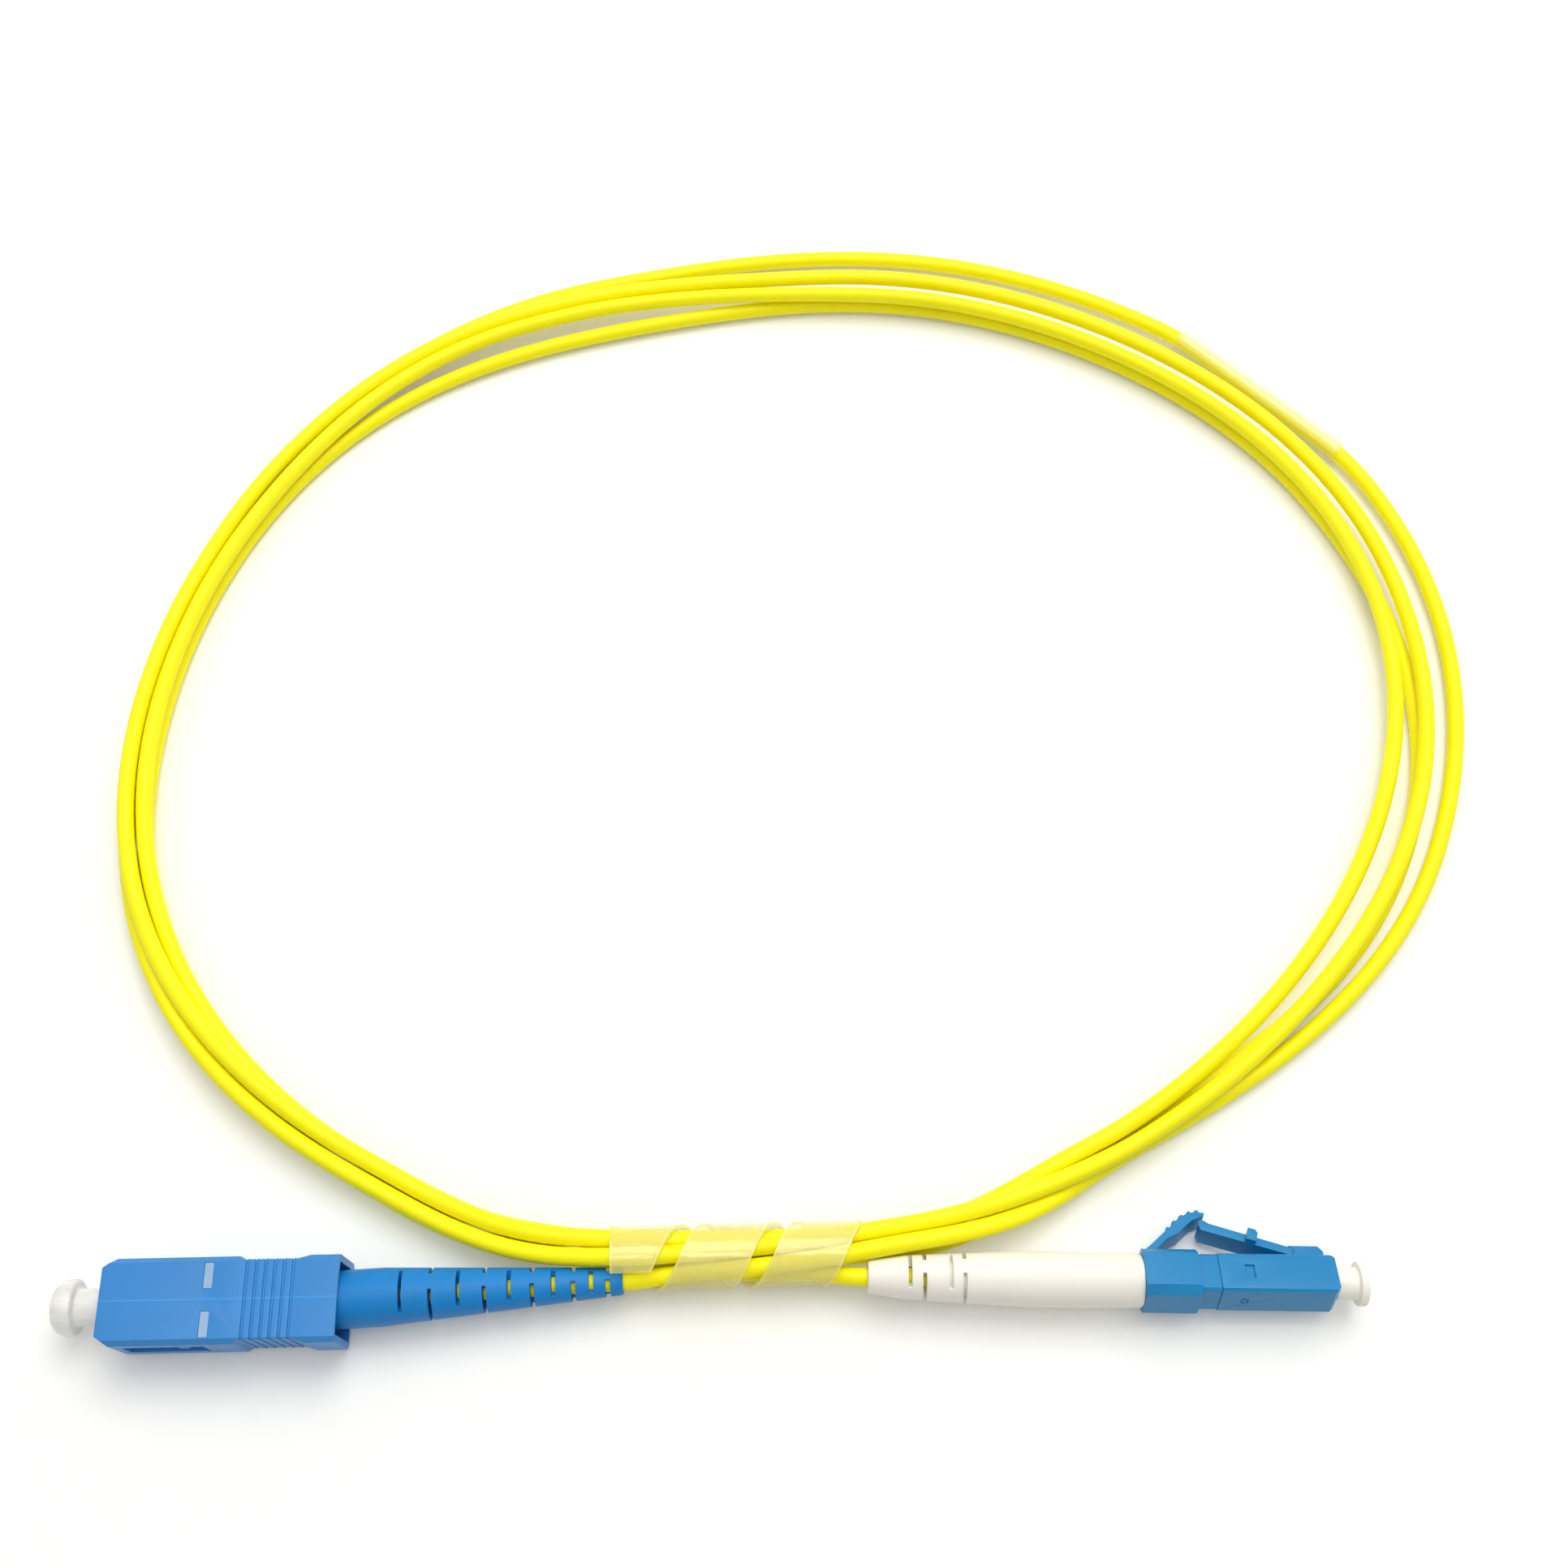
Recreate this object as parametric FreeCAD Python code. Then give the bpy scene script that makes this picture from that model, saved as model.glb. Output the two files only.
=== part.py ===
import FreeCAD, Part
import math
import os

V = FreeCAD.Vector
X_AXIS = V(1, 0, 0)
Y_AXIS = V(0, 1, 0)
Z_AXIS = V(0, 0, 1)
FULL_TURN = 360

# Fiber optic patch cord, square push-pull plug to small latched plug, single fibre, two metres.
# Millimetres. The cord lies coiled flat on z = 0 with both plugs in front of it.
# Each plug is drawn on its own axis and then laid in place.

# Fits between pieces
SLIDE_FIT = 0.05
LOOSE_FIT = 0.10
SEAT_GAP = 0.03
CAP_GRIP_FIT = 0.02

# Cord
JACKET = 2.0
BUFFER = 0.9
BUFFER_FIT = 0.05
FIBRE_SLACK = 1.1

# Square plug: grip, sliding on a frame. Its axis runs along X, front face of the grip at x = 0
SQ_GRIP_LENGTH = 25.0
SQ_GRIP_WIDTH = 9.0
SQ_GRIP_HEIGHT = 7.4
SQ_GRIP_NOSE_CUT = (1.4, 1.0)
SQ_GRIP_EDGE = 0.55
SQ_GRIP_TRAVEL = 1.8
SQ_WAIST_FROM = 14.4
SQ_WAIST_TO = 20.6
SQ_WAIST_DEPTH = 0.4
SQ_WAIST_RAMP = 1.2
SQ_RIB_COUNT = 6
SQ_RIB_PITCH = 0.98
SQ_RIB_GROOVE = 0.34
SQ_KEY_FROM = 1.4
SQ_KEY_LENGTH = 8.6
SQ_KEY_WIDTH = 2.2
SQ_KEY_HEIGHT = 0.85
SQ_KEY_LEAD = 0.5
SQ_SLOT_FROM = 10.8
SQ_SLOT_WIDTH = 1.0
SQ_SLOT_LENGTH = 2.7
SQ_SLOT_OFFSET = 2.5
SQ_WINDOW_FROM = 2.4
SQ_WINDOW_LENGTH = 8.5
SQ_WINDOW_HEIGHT = 3.4
SQ_POCKET_FROM = 16.4
SQ_POCKET_HEIGHT = 6.5

SQ_FRAME_FROM = 0.4
SQ_FRAME_LENGTH = 16.6
SQ_FRAME_WIDTH = 7.4
SQ_FRAME_HEIGHT = 5.4
SQ_FRAME_EDGE = 0.5
SQ_FRONT_BORE = 4.6
SQ_FRONT_BORE_DEPTH = 6.2
SQ_WEB = 1.0
SQ_REAR_BORE = 4.6
SQ_RAMP_FROM = 5.4
SQ_RAMP_LENGTH = 3.4
SQ_RAMP_HEIGHT = 0.6

SQ_FERRULE = 2.5
SQ_FERRULE_LENGTH = 10.5
SQ_FERRULE_OUT = 0.7
SQ_FERRULE_CHAMFER = 0.25
SQ_FLANGE = 4.2
SQ_FLANGE_LENGTH = 2.4
SQ_TAIL = 2.9
SQ_TAIL_LENGTH = 3.2
SQ_FLOAT = 1.0
SQ_SPRING_WIRE = 0.45
SQ_SPRING_OUTER = 4.3
SQ_SPRING_TURNS = 6
SQ_STOP_PLUG_LENGTH = 1.2
SQ_COLLAR = 5.3
SQ_COLLAR_LENGTH = 1.0
SQ_SPIGOT = 3.3
SQ_SPIGOT_LENGTH = 6.4
SQ_STOP_BORE = 1.4
SQ_CRIMP = 4.5
SQ_CRIMP_WALL = 0.35
SQ_CRIMP_LENGTH = 6.2
SPIGOT_GROOVE_COUNT = 7
SPIGOT_END = 0.4

SQ_BOOT_TIP = 2.85
SQ_BOOT_ROOT = 6.15
SQ_BOOT_CONE = 25.5
SQ_BOOT_BORE = 5.2
SQ_BOOT_RINGS = 10
SQ_BOOT_FIRST_RING = 1.6
SQ_BOOT_RING_STEP = 1.75
SQ_BOOT_RING_GROWTH = 0.17
SQ_BOOT_SLOT = 0.55
# bridge between a ring's two slots and the way it faces, for slots at the sides and slots above and below
SQ_BOOT_SIDE_SLOTS = (42.0, 67.5)
SQ_BOOT_TOP_SLOTS = (80.0, -4.0)

SQ_CAP_HEAD = 6.0
SQ_CAP_HEAD_LENGTH = 2.6
SQ_CAP_STEM = 3.9
SQ_CAP_STEM_OUT = 3.2
SQ_CAP_STEM_IN = 5.2
SQ_CAP_ROUND = 0.7
SQ_CAP_TIP_ROOM = 0.3

# Small latched plug. Its axis runs along X, nose face at x = 0, latch on the +Y side, boot behind
SM_BODY = 4.5
SM_HOUSING_LENGTH = 12.5
SM_NOSE_CUT = 0.5
SM_FRONT_BORE = 3.3
SM_FRONT_BORE_DEPTH = 5.5
SM_WEB = 0.9
SM_REAR_BORE = 3.4
SM_POCKET_FROM = 8.8
SM_POCKET = (1.0, 1.6, 0.25)
SM_DOT_AT = 9.9
SM_DOT = 0.9

SM_ROOT_FROM = 0.8
SM_ROOT_TO = 4.5
SM_ROOT_TOP = 3.7
SM_LATCH_WIDTH = 2.6
SM_LATCH_THICK = 1.05
SM_LATCH_REACH = 9.5
SM_LATCH_SLOPE = 18.0
SM_LATCH_HINGE = (-4.45, 3.1)
SM_LATCH_KNUCKLE = 0.5
SM_LATCH_SWING = 8.0
SM_EAR_AT = 3.6
SM_EAR_LENGTH = 1.1
SM_EAR_WIDTH = 4.3
SM_EAR_RISE = 0.35
SM_HOOK_RISE = 0.2

SM_CLIP_GAP = 2.2
SM_CLIP_LENGTH = 5.9
SM_CLIP = 5.5
SM_CLIP_EDGE = 0.85
SM_STOP_BODY = 3.9
SM_NECK = 4.4
SM_NECK_EDGE = 0.3
SM_TRIGGER_WIDTH = 2.6
SM_TRIGGER_HINGE_BACK = 4.7
SM_TRIGGER_KNUCKLE = 0.5
SM_TRIGGER_SWING = 10.0
SM_TRIGGER_RIBS = 5
SM_TRIGGER_RIB = 0.22

SM_FERRULE = 1.25
SM_FERRULE_LENGTH = 6.5
SM_FERRULE_OUT = 0.5
SM_FERRULE_CHAMFER = 0.15
SM_FLANGE = 2.9
SM_FLANGE_LENGTH = 1.9
SM_TAIL = 1.9
SM_TAIL_LENGTH = 1.9
SM_FLOAT = 0.9
SM_SPRING_WIRE = 0.3
SM_SPRING_OUTER = 3.1
SM_SPRING_TURNS = 5
SM_SPIGOT = 2.5
SM_SPIGOT_LENGTH = 6.0
SM_STOP_BORE = 1.2
SM_CRIMP = 3.6
SM_CRIMP_WALL = 0.3
SM_CRIMP_LENGTH = 5.6

SM_BOOT_LENGTH = 29.4
SM_BOOT_TIP = 3.5
SM_BOOT_NECK = 4.6
SM_BOOT_BELLY = 5.85
SM_BOOT_ROOT = 5.6
SM_BOOT_BORE = 3.8
SM_BOOT_RINGS = (4.5, 6.05, 8.85, 10.3)
SM_BOOT_SLOT = 0.42
SM_BOOT_TOP_SLOTS = (60.0, 157.0)
SM_BOOT_SIDE_SLOTS = (38.0, 68.0)

SM_CAP_STEM = 3.5
SM_CAP_STEM_OUT = 2.4
SM_CAP_FLANGE = 4.7
SM_CAP_FLANGE_LENGTH = 0.9
SM_CAP_INNER = 2.9
SM_CAP_INNER_LENGTH = 4.4
SM_CAP_TIP_ROOM = 0.3

# Where the plugs lie: grip front and nose face, in the part's frame
PLUG_SPAN = 130.95
PLUG_MIDDLE = 1.225
SQ_TABLE_GAP = 0.02
SQ_AT = V(PLUG_MIDDLE - PLUG_SPAN / 2, -2.9, SQ_GRIP_HEIGHT / 2 + SQ_KEY_HEIGHT + SQ_TABLE_GAP)
SQ_YAW = 1.2
SQ_BOOT_PIVOT = 19.0
SQ_BOOT_REACH = 35.74
SQ_BOOT_YAW = 3.8
SQ_BOOT_DROP = 0.55
SM_AT = V(PLUG_MIDDLE + PLUG_SPAN / 2, -0.4, 4.35)
SM_YAW = -0.8
SM_ROLL = -21.0

# Coil of the cord: an oval of four turns, tied at the front by the spiral wrap
TURNS = 4
LOOP_GAP = 0.50
PITCH = JACKET + LOOP_GAP
COIL_CENTRE = V(7.0, 69.8, 0)
COIL_RADIUS = 71.4
# waves of the oval: times round, size in mm, angle of the crest
OVAL_WAVES = ((1, 1.5, -127.0), (2, 6.9, 12.6), (3, 0.7, 22.0), (4, 0.4, 16.0), (5, 0.5, -1.0),
              (6, 0.3, 20.0))
# In the tie five strands stand in a ring; past it four do. Angles count round the coil in degrees
TIE_FROM = 255.0
TIE_TO = 278.0
SQ_TIE_DISTANCE = 53.35
SM_TIE_DISTANCE = 50.6
TIE_LEFT = V(SQ_AT.x + SQ_TIE_DISTANCE, 2.75, 0)
TIE_RIGHT = V(SM_AT.x - SM_TIE_DISTANCE, 3.45, 0)
TIE_LENGTH = (TIE_RIGHT - TIE_LEFT).Length
TIE_BOW = 0.6
TIE_BLEND = 24.0
TIE_PHASE = 181.0
TIE_TWIST = -3.1
TIE_STEP = 72.0
RING_PHASE = 225.0
RING_STEP = 90.0
UNTIED = 306.0
GATHERED = 238.0
TURN_OVER = (178.0, 236.0)
# how each turn swings out of the ring: size in mm, then leaving, out, back and home angles
SWINGS = (
    ((5.9, 301, 347, 112, 163),),
    ((0.9, 300, 330, 140, 165), (1.0, 322, 346, 350, 15), (1.9, 85, 115, 122, 150)),
    ((2.8, 80, 116, 122, 158),),
    ((4.6, 303, 342, 345, 24),),
)
STATIONS = (287, 296, 306, 322, 345, 15, 50, 85, 120, 138, 155, 170, 187, 210, 232, 245)
# the first strand joins the ring from the blue boot, the last leaves it for the white one
JOIN = (0.6, 255.0, 263.0)
LEAVE = (1.0, 271.0, 279.0)
FIRST_STATION = 261.5
LAST_STATION = 273.0
SLEEVE_FROM = 25.9
SLEEVE_TO = 45.3
# The coil touches the table under the tie, under the sleeve and at one low place behind
COIL_LIFT = 0.25
LOW_PLACE = (122.0, 152.0, 158.0, 190.0)

# On the cord
SLEEVE_OUTER = 3.2
SLEEVE_BORE = 2.3
SLEEVE_LENGTH = 27.0
SLEEVE_LIFT_RAMP = 40.0
BEND_ROOM = 0.03
WRAP_WALL = 0.42
WRAP_PITCH = 10.1
WRAP_BAND = 7.8
WRAP_START = -35.0
WRAP_TOP = 1.45
WRAP_SHORT = 1.852
WRAP_END = FULL_TURN * (TIE_LENGTH - WRAP_TOP - WRAP_SHORT) / WRAP_PITCH
WRAP_ROOM = 0.09


# Helpers

def block(x0, x1, y0, y1, z0, z1):
    """Box between three pairs of limits."""
    low = V(min(x0, x1), min(y0, y1), min(z0, z1))
    return Part.makeBox(abs(x1 - x0), abs(y1 - y0), abs(z1 - z0), low)


def bar(x0, x1, diameter):
    """Round bar on the X axis."""
    return Part.makeCylinder(diameter / 2, abs(x1 - x0), V(min(x0, x1), 0, 0), X_AXIS)


def turned(outline):
    """Solid turned about the X axis from (x, radius) corners that start and end on the axis."""
    points = [V(x, r, 0) for x, r in outline]
    face = Part.Face(Part.makePolygon(points + [points[0]]))
    return face.revolve(V(0, 0, 0), X_AXIS, FULL_TURN)


def plate(outline, thickness):
    """Flat plate from (x, y) corners, centred on z = 0."""
    points = [V(x, y, -thickness / 2) for x, y in outline]
    face = Part.Face(Part.makePolygon(points + [points[0]]))
    return face.extrude(V(0, 0, thickness))


def octagon_bar(x0, x1, width, height, edge):
    """Bar along X with a rectangular section whose corners are cut."""
    y, z = width / 2, height / 2
    corners = [(y, z - edge), (y - edge, z), (edge - y, z), (-y, z - edge),
               (-y, edge - z), (edge - y, -z), (y - edge, -z), (y, edge - z)]
    start = min(x0, x1)
    points = [V(start, a, b) for a, b in corners]
    face = Part.Face(Part.makePolygon(points + [points[0]]))
    return face.extrude(V(abs(x1 - x0), 0, 0))


def ease(value, start, end):
    """Smooth step from 0 at start to 1 at end."""
    part = min(1.0, max(0.0, (value - start) / (end - start)))
    return part * part * (3 - 2 * part)


def placed(shape, at, yaw, roll=0.0, pitch=0.0):
    """Copy of a shape rolled about X, pitched about Y, yawed about Z and moved."""
    spin = FreeCAD.Rotation(Z_AXIS, yaw).multiply(FreeCAD.Rotation(Y_AXIS, pitch))
    spin = spin.multiply(FreeCAD.Rotation(X_AXIS, roll))
    moved = shape.copy()
    moved.Placement = FreeCAD.Placement(at, spin).multiply(moved.Placement)
    return moved


# Paths of round wire: two arcs from one point to the next, along the given ways

def biarc(start, start_way, end, end_way):
    """Two tangent arcs, each as (start, way, end)."""
    across = end - start
    ways = start_way + end_way
    turned_by = 2 * (1 - start_way.dot(end_way))
    dot = across.dot(ways)
    if turned_by < 1e-9:
        reach = across.dot(across) / (2 * dot)
    else:
        reach = (math.sqrt(dot * dot + turned_by * across.dot(across)) - dot) / turned_by
    corner = start + start_way * reach
    joint = (corner + end - end_way * reach) * 0.5
    return [(start, start_way, joint), (joint, (joint - corner).normalize(), end)]


def arc_frame(start, way, end):
    """Half angle, radius and side normal of the arc, or None where it is straight."""
    chord = end - start
    along = chord.dot(way)
    side = chord - way * along
    if side.Length < 1e-5:
        return None
    half = math.atan2(side.Length, along)
    return half, chord.Length / 2 / math.sin(half), side.normalize()


def arc_point(start, way, end, part):
    """Point at a share of the arc's length."""
    frame = arc_frame(start, way, end)
    if frame is None:
        return start + (end - start) * part
    half, radius, normal = frame
    angle = 2 * half * part
    return start + way * (radius * math.sin(angle)) + normal * (radius * (1 - math.cos(angle)))


def arc_edge(start, way, end):
    """Edge of the arc."""
    if arc_frame(start, way, end) is None:
        return Part.LineSegment(start, end).toShape()
    return Part.Arc(start, arc_point(start, way, end, 0.5), end).toShape()


def arcs_between(knots):
    """All arcs through a list of (point, way)."""
    arcs = []
    for (start, start_way), (end, end_way) in zip(knots, knots[1:]):
        arcs += biarc(start, start_way, end, end_way)
    return arcs


def wire_tube(arcs, diameter):
    """Round tube along the arcs, one unbroken solid."""
    spine = Part.Wire([arc_edge(*arc) for arc in arcs])
    start, way, _ = arcs[0]
    circle = Part.Circle(start, way, diameter / 2).toShape()
    return spine.makePipeShell([Part.Wire([circle])], True, False)


def points_along(arcs, spacing):
    """Points along the arcs, with the length run up to each."""
    points = []
    run = 0.0
    for start, way, end in arcs:
        frame = arc_frame(start, way, end)
        length = (end - start).Length if frame is None else 2 * frame[0] * frame[1]
        count = max(1, round(length / spacing))
        for i in range(count):
            points.append((run + length * i / count, arc_point(start, way, end, i / count)))
        run += length
    points.append((run, arcs[-1][2]))
    return points


def least_gap(points, diameter, apart):
    """Least gap between lengths of the wire that lie further apart along it than the given run."""
    least = 1e9
    cell = 3 * diameter
    cells = {}
    for run, p in points:
        key = (int(p.x // cell), int(p.y // cell))
        for i in (-1, 0, 1):
            for j in (-1, 0, 1):
                for other_run, q in cells.get((key[0] + i, key[1] + j), ()):
                    if run - other_run > apart:
                        least = min(least, (p - q).Length - diameter)
        cells.setdefault(key, []).append((run, p))
    return least


def least_radius(arcs):
    """Smallest radius of the arcs."""
    frames = [arc_frame(*arc) for arc in arcs]
    return min(frame[1] for frame in frames if frame is not None)


def coil_spring(x0, x1, outer, wire, turns):
    """Compression spring on the X axis between two faces, with its ends left open."""
    radius = (outer - wire) / 2
    first = min(x0, x1) + wire / 2 + SEAT_GAP
    rise = (abs(x1 - x0) - wire - 2 * SEAT_GAP) / turns
    slope = rise / (2 * math.pi * radius)
    lean = 1 / math.hypot(1, slope)

    def knot(half_turns):
        angle = math.pi * half_turns
        point = V(first + rise * half_turns / 2, radius * math.cos(angle), radius * math.sin(angle))
        way = V(slope * lean, -math.sin(angle) * lean, math.cos(angle) * lean)
        return point, way

    arcs = arcs_between([knot(i) for i in range(2 * turns + 1)])
    return wire_tube(arcs, wire)


# Square plug

def sq_grip_housing():
    """Outer grip: a sleeve that is pulled back to let go, keyed underneath."""
    y = SQ_GRIP_WIDTH / 2
    z = SQ_GRIP_HEIGHT / 2
    nose_x, nose_y = SQ_GRIP_NOSE_CUT
    side = [(0, y - nose_y), (nose_x, y), (SQ_WAIST_FROM, y),
            (SQ_WAIST_FROM + SQ_WAIST_DEPTH, y - SQ_WAIST_DEPTH),
            (SQ_WAIST_TO, y - SQ_WAIST_DEPTH), (SQ_WAIST_TO + SQ_WAIST_RAMP, y), (SQ_GRIP_LENGTH, y)]
    plan = side + [(x, -a) for x, a in reversed(side)]
    body = plate(plan, SQ_GRIP_HEIGHT)
    body = body.common(octagon_bar(0, SQ_GRIP_LENGTH, SQ_GRIP_WIDTH, SQ_GRIP_HEIGHT, SQ_GRIP_EDGE))
    key = plate([(SQ_KEY_FROM, z - SQ_GRIP_EDGE), (SQ_KEY_FROM, z + SQ_KEY_HEIGHT - SQ_KEY_LEAD),
                 (SQ_KEY_FROM + SQ_KEY_LEAD, z + SQ_KEY_HEIGHT),
                 (SQ_KEY_FROM + SQ_KEY_LENGTH, z + SQ_KEY_HEIGHT),
                 (SQ_KEY_FROM + SQ_KEY_LENGTH, z - SQ_GRIP_EDGE)],
                SQ_KEY_WIDTH)
    key.rotate(V(0, 0, 0), X_AXIS, -90)
    body = body.fuse(key)
    wide = SQ_FRAME_WIDTH + 2 * SLIDE_FIT
    high = SQ_FRAME_HEIGHT + 2 * SLIDE_FIT
    cuts = [block(-1, SQ_GRIP_LENGTH + 1, -wide / 2, wide / 2, -high / 2, high / 2),
            block(SQ_POCKET_FROM, SQ_GRIP_LENGTH + 1, -wide / 2, wide / 2, -SQ_POCKET_HEIGHT / 2,
                  SQ_POCKET_HEIGHT / 2),
            block(SQ_WINDOW_FROM, SQ_WINDOW_FROM + SQ_WINDOW_LENGTH, -y - 1, y + 1,
                  -SQ_WINDOW_HEIGHT / 2, SQ_WINDOW_HEIGHT / 2)]
    for across in (-SQ_SLOT_OFFSET, SQ_SLOT_OFFSET):
        cuts.append(block(SQ_SLOT_FROM, SQ_SLOT_FROM + SQ_SLOT_WIDTH, across - SQ_SLOT_LENGTH / 2,
                          across + SQ_SLOT_LENGTH / 2, -z - 1, z + 1))
    for i in range(SQ_RIB_COUNT):
        x = SQ_WAIST_FROM + SQ_WAIST_DEPTH + SQ_RIB_PITCH * (i + 0.5)
        for across in (-1, 1):
            waist = across * (y - SQ_WAIST_DEPTH)
            cuts.append(Part.makeCylinder(SQ_RIB_GROOVE / 2, SQ_GRIP_HEIGHT, V(x, waist, -z), Z_AXIS))
            cuts.append(Part.makeCylinder(SQ_RIB_GROOVE / 2, 2 * y, V(x, -y, across * z), Y_AXIS))
    return body.cut(cuts)


def sq_plug_frame():
    """Inner frame that stays put: the adapter's hooks hold on its side ramps."""
    end = SQ_FRAME_FROM + SQ_FRAME_LENGTH
    body = octagon_bar(SQ_FRAME_FROM, end, SQ_FRAME_WIDTH, SQ_FRAME_HEIGHT, SQ_FRAME_EDGE)
    ramp = [(SQ_RAMP_FROM, 0), (SQ_RAMP_FROM + SQ_RAMP_LENGTH * 0.7, SQ_FRAME_WIDTH / 2 + SQ_RAMP_HEIGHT),
            (SQ_RAMP_FROM + SQ_RAMP_LENGTH, SQ_FRAME_WIDTH / 2 + SQ_RAMP_HEIGHT),
            (SQ_RAMP_FROM + SQ_RAMP_LENGTH, 0)]
    ramp[0] = (SQ_RAMP_FROM, SQ_FRAME_WIDTH / 2 - SQ_FRAME_EDGE)
    ramp[3] = (SQ_RAMP_FROM + SQ_RAMP_LENGTH, SQ_FRAME_WIDTH / 2 - SQ_FRAME_EDGE)
    ramps = [plate([(x, side * y) for x, y in ramp],
                   SQ_WINDOW_HEIGHT - 2 * LOOSE_FIT - 0.4) for side in (-1, 1)]
    body = body.fuse(ramps)
    web = SQ_FRAME_FROM + SQ_FRONT_BORE_DEPTH
    cuts = [bar(SQ_FRAME_FROM - 1, web, SQ_FRONT_BORE),
            bar(web - 1, web + SQ_WEB + 1, SQ_FERRULE + 2 * LOOSE_FIT),
            bar(web + SQ_WEB, end + 1, SQ_REAR_BORE)]
    return body.cut(cuts)


SQ_FLANGE_FROM = SQ_FRAME_FROM + SQ_FRONT_BORE_DEPTH + SQ_WEB + SLIDE_FIT
SQ_STOP_FROM = SQ_FRAME_FROM + SQ_FRAME_LENGTH - SQ_STOP_PLUG_LENGTH
SQ_SPIGOT_FROM = SQ_FRAME_FROM + SQ_FRAME_LENGTH + SEAT_GAP + SQ_COLLAR_LENGTH
SQ_SPIGOT_TO = SQ_SPIGOT_FROM + SQ_SPIGOT_LENGTH
SQ_FERRULE_TO = SQ_FERRULE_LENGTH - SQ_FERRULE_OUT


def sq_ferrule():
    """Ceramic ferrule with its end chamfered."""
    r = SQ_FERRULE / 2
    tip = -SQ_FERRULE_OUT
    return turned([(tip, 0), (tip, r - SQ_FERRULE_CHAMFER), (tip + SQ_FERRULE_CHAMFER, r),
                   (SQ_FERRULE_TO, r),
                   (SQ_FERRULE_TO, 0)])


def sq_ferrule_flange():
    """Metal flange pressed on the ferrule, with the tail that the spring goes round."""
    end = SQ_FLANGE_FROM + SQ_FLANGE_LENGTH
    body = bar(SQ_FLANGE_FROM, end, SQ_FLANGE).fuse(bar(end, end + SQ_TAIL_LENGTH, SQ_TAIL))
    for side in (-1, 1):
        body = body.cut(block(SQ_FLANGE_FROM, end - 0.6, -0.4, 0.4, side * SQ_FLANGE * 0.42,
                              side * SQ_FLANGE))
    return body.cut([bar(SQ_FLANGE_FROM - 1, SQ_FERRULE_TO, SQ_FERRULE),
                     bar(SQ_FERRULE_TO - 1, end + SQ_TAIL_LENGTH + 1, BUFFER + 2 * BUFFER_FIT)])


def sq_spring():
    """Spring that presses the ferrule forward."""
    return coil_spring(SQ_FLANGE_FROM + SQ_FLANGE_LENGTH, SQ_STOP_FROM, SQ_SPRING_OUTER, SQ_SPRING_WIRE,
                       SQ_SPRING_TURNS)


def sq_stop_body():
    """Rear body: plugs the frame, holds the spring and carries the crimp on a knurled spigot."""
    r = SQ_SPIGOT / 2
    front = SQ_FRAME_FROM + SQ_FRAME_LENGTH + SEAT_GAP
    plug = SQ_REAR_BORE / 2 - SEAT_GAP
    outline = [(SQ_STOP_FROM, 0), (SQ_STOP_FROM, plug), (front, plug), (front, SQ_COLLAR / 2),
               (SQ_SPIGOT_FROM, SQ_COLLAR / 2)]
    step = (SQ_SPIGOT_LENGTH - SPIGOT_END) / SPIGOT_GROOVE_COUNT
    for i in range(SPIGOT_GROOVE_COUNT):
        x = SQ_SPIGOT_FROM + step * i
        outline += [(x, r), (x + step * 0.6, r), (x + step * 0.7, r - 0.12), (x + step * 0.9, r - 0.12)]
    outline += [(SQ_SPIGOT_TO - SPIGOT_END, r), (SQ_SPIGOT_TO, r), (SQ_SPIGOT_TO, 0)]
    return turned(outline).cut(bar(SQ_STOP_FROM - 1, SQ_SPIGOT_TO + 1, SQ_STOP_BORE))


def crimp_tube(x0, x1, outer, wall):
    """Crimp sleeve with its two pressed rings."""
    r = outer / 2
    low, high = min(x0, x1), max(x0, x1)
    third = (high - low) / 3
    dip = wall * 0.3
    outline = [(low, 0), (low, r)]
    for middle in (low + third, low + 2 * third):
        outline += [(middle - 0.6, r), (middle - 0.35, r - dip), (middle + 0.35, r - dip),
                    (middle + 0.6, r)]
    outline += [(high, r), (high, 0)]
    return turned(outline).cut(bar(low - 1, high + 1, outer - 2 * wall))


def sq_crimp_sleeve():
    """Metal crimp sleeve over the spigot."""
    start = SQ_SPIGOT_FROM + LOOSE_FIT
    return crimp_tube(start, start + SQ_CRIMP_LENGTH, SQ_CRIMP, SQ_CRIMP_WALL)


def ring_tube(x0, x1, outer, inner):
    """Plain tube on the X axis."""
    return bar(x0, x1, outer).cut(bar(min(x0, x1) - 1, max(x0, x1) + 1, inner))


def sq_aramid_yarn():
    """Layer of strength yarn caught between spigot and crimp."""
    start = SQ_SPIGOT_FROM + 2 * LOOSE_FIT
    bore = SQ_CRIMP - 2 * SQ_CRIMP_WALL
    return ring_tube(start, start + SQ_CRIMP_LENGTH - 0.4, bore - 2 * SEAT_GAP, SQ_SPIGOT + 2 * SEAT_GAP)


SQ_FIBRE_FROM = SQ_FERRULE_TO
SQ_LEAD_FROM = SQ_SPIGOT_TO + FIBRE_SLACK + 1.0


def sq_buffered_fibre():
    """Buffered fibre from the ferrule to the jacket, free to slide with the ferrule."""
    return bar(SQ_FIBRE_FROM, SQ_LEAD_FROM - FIBRE_SLACK, BUFFER)


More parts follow.
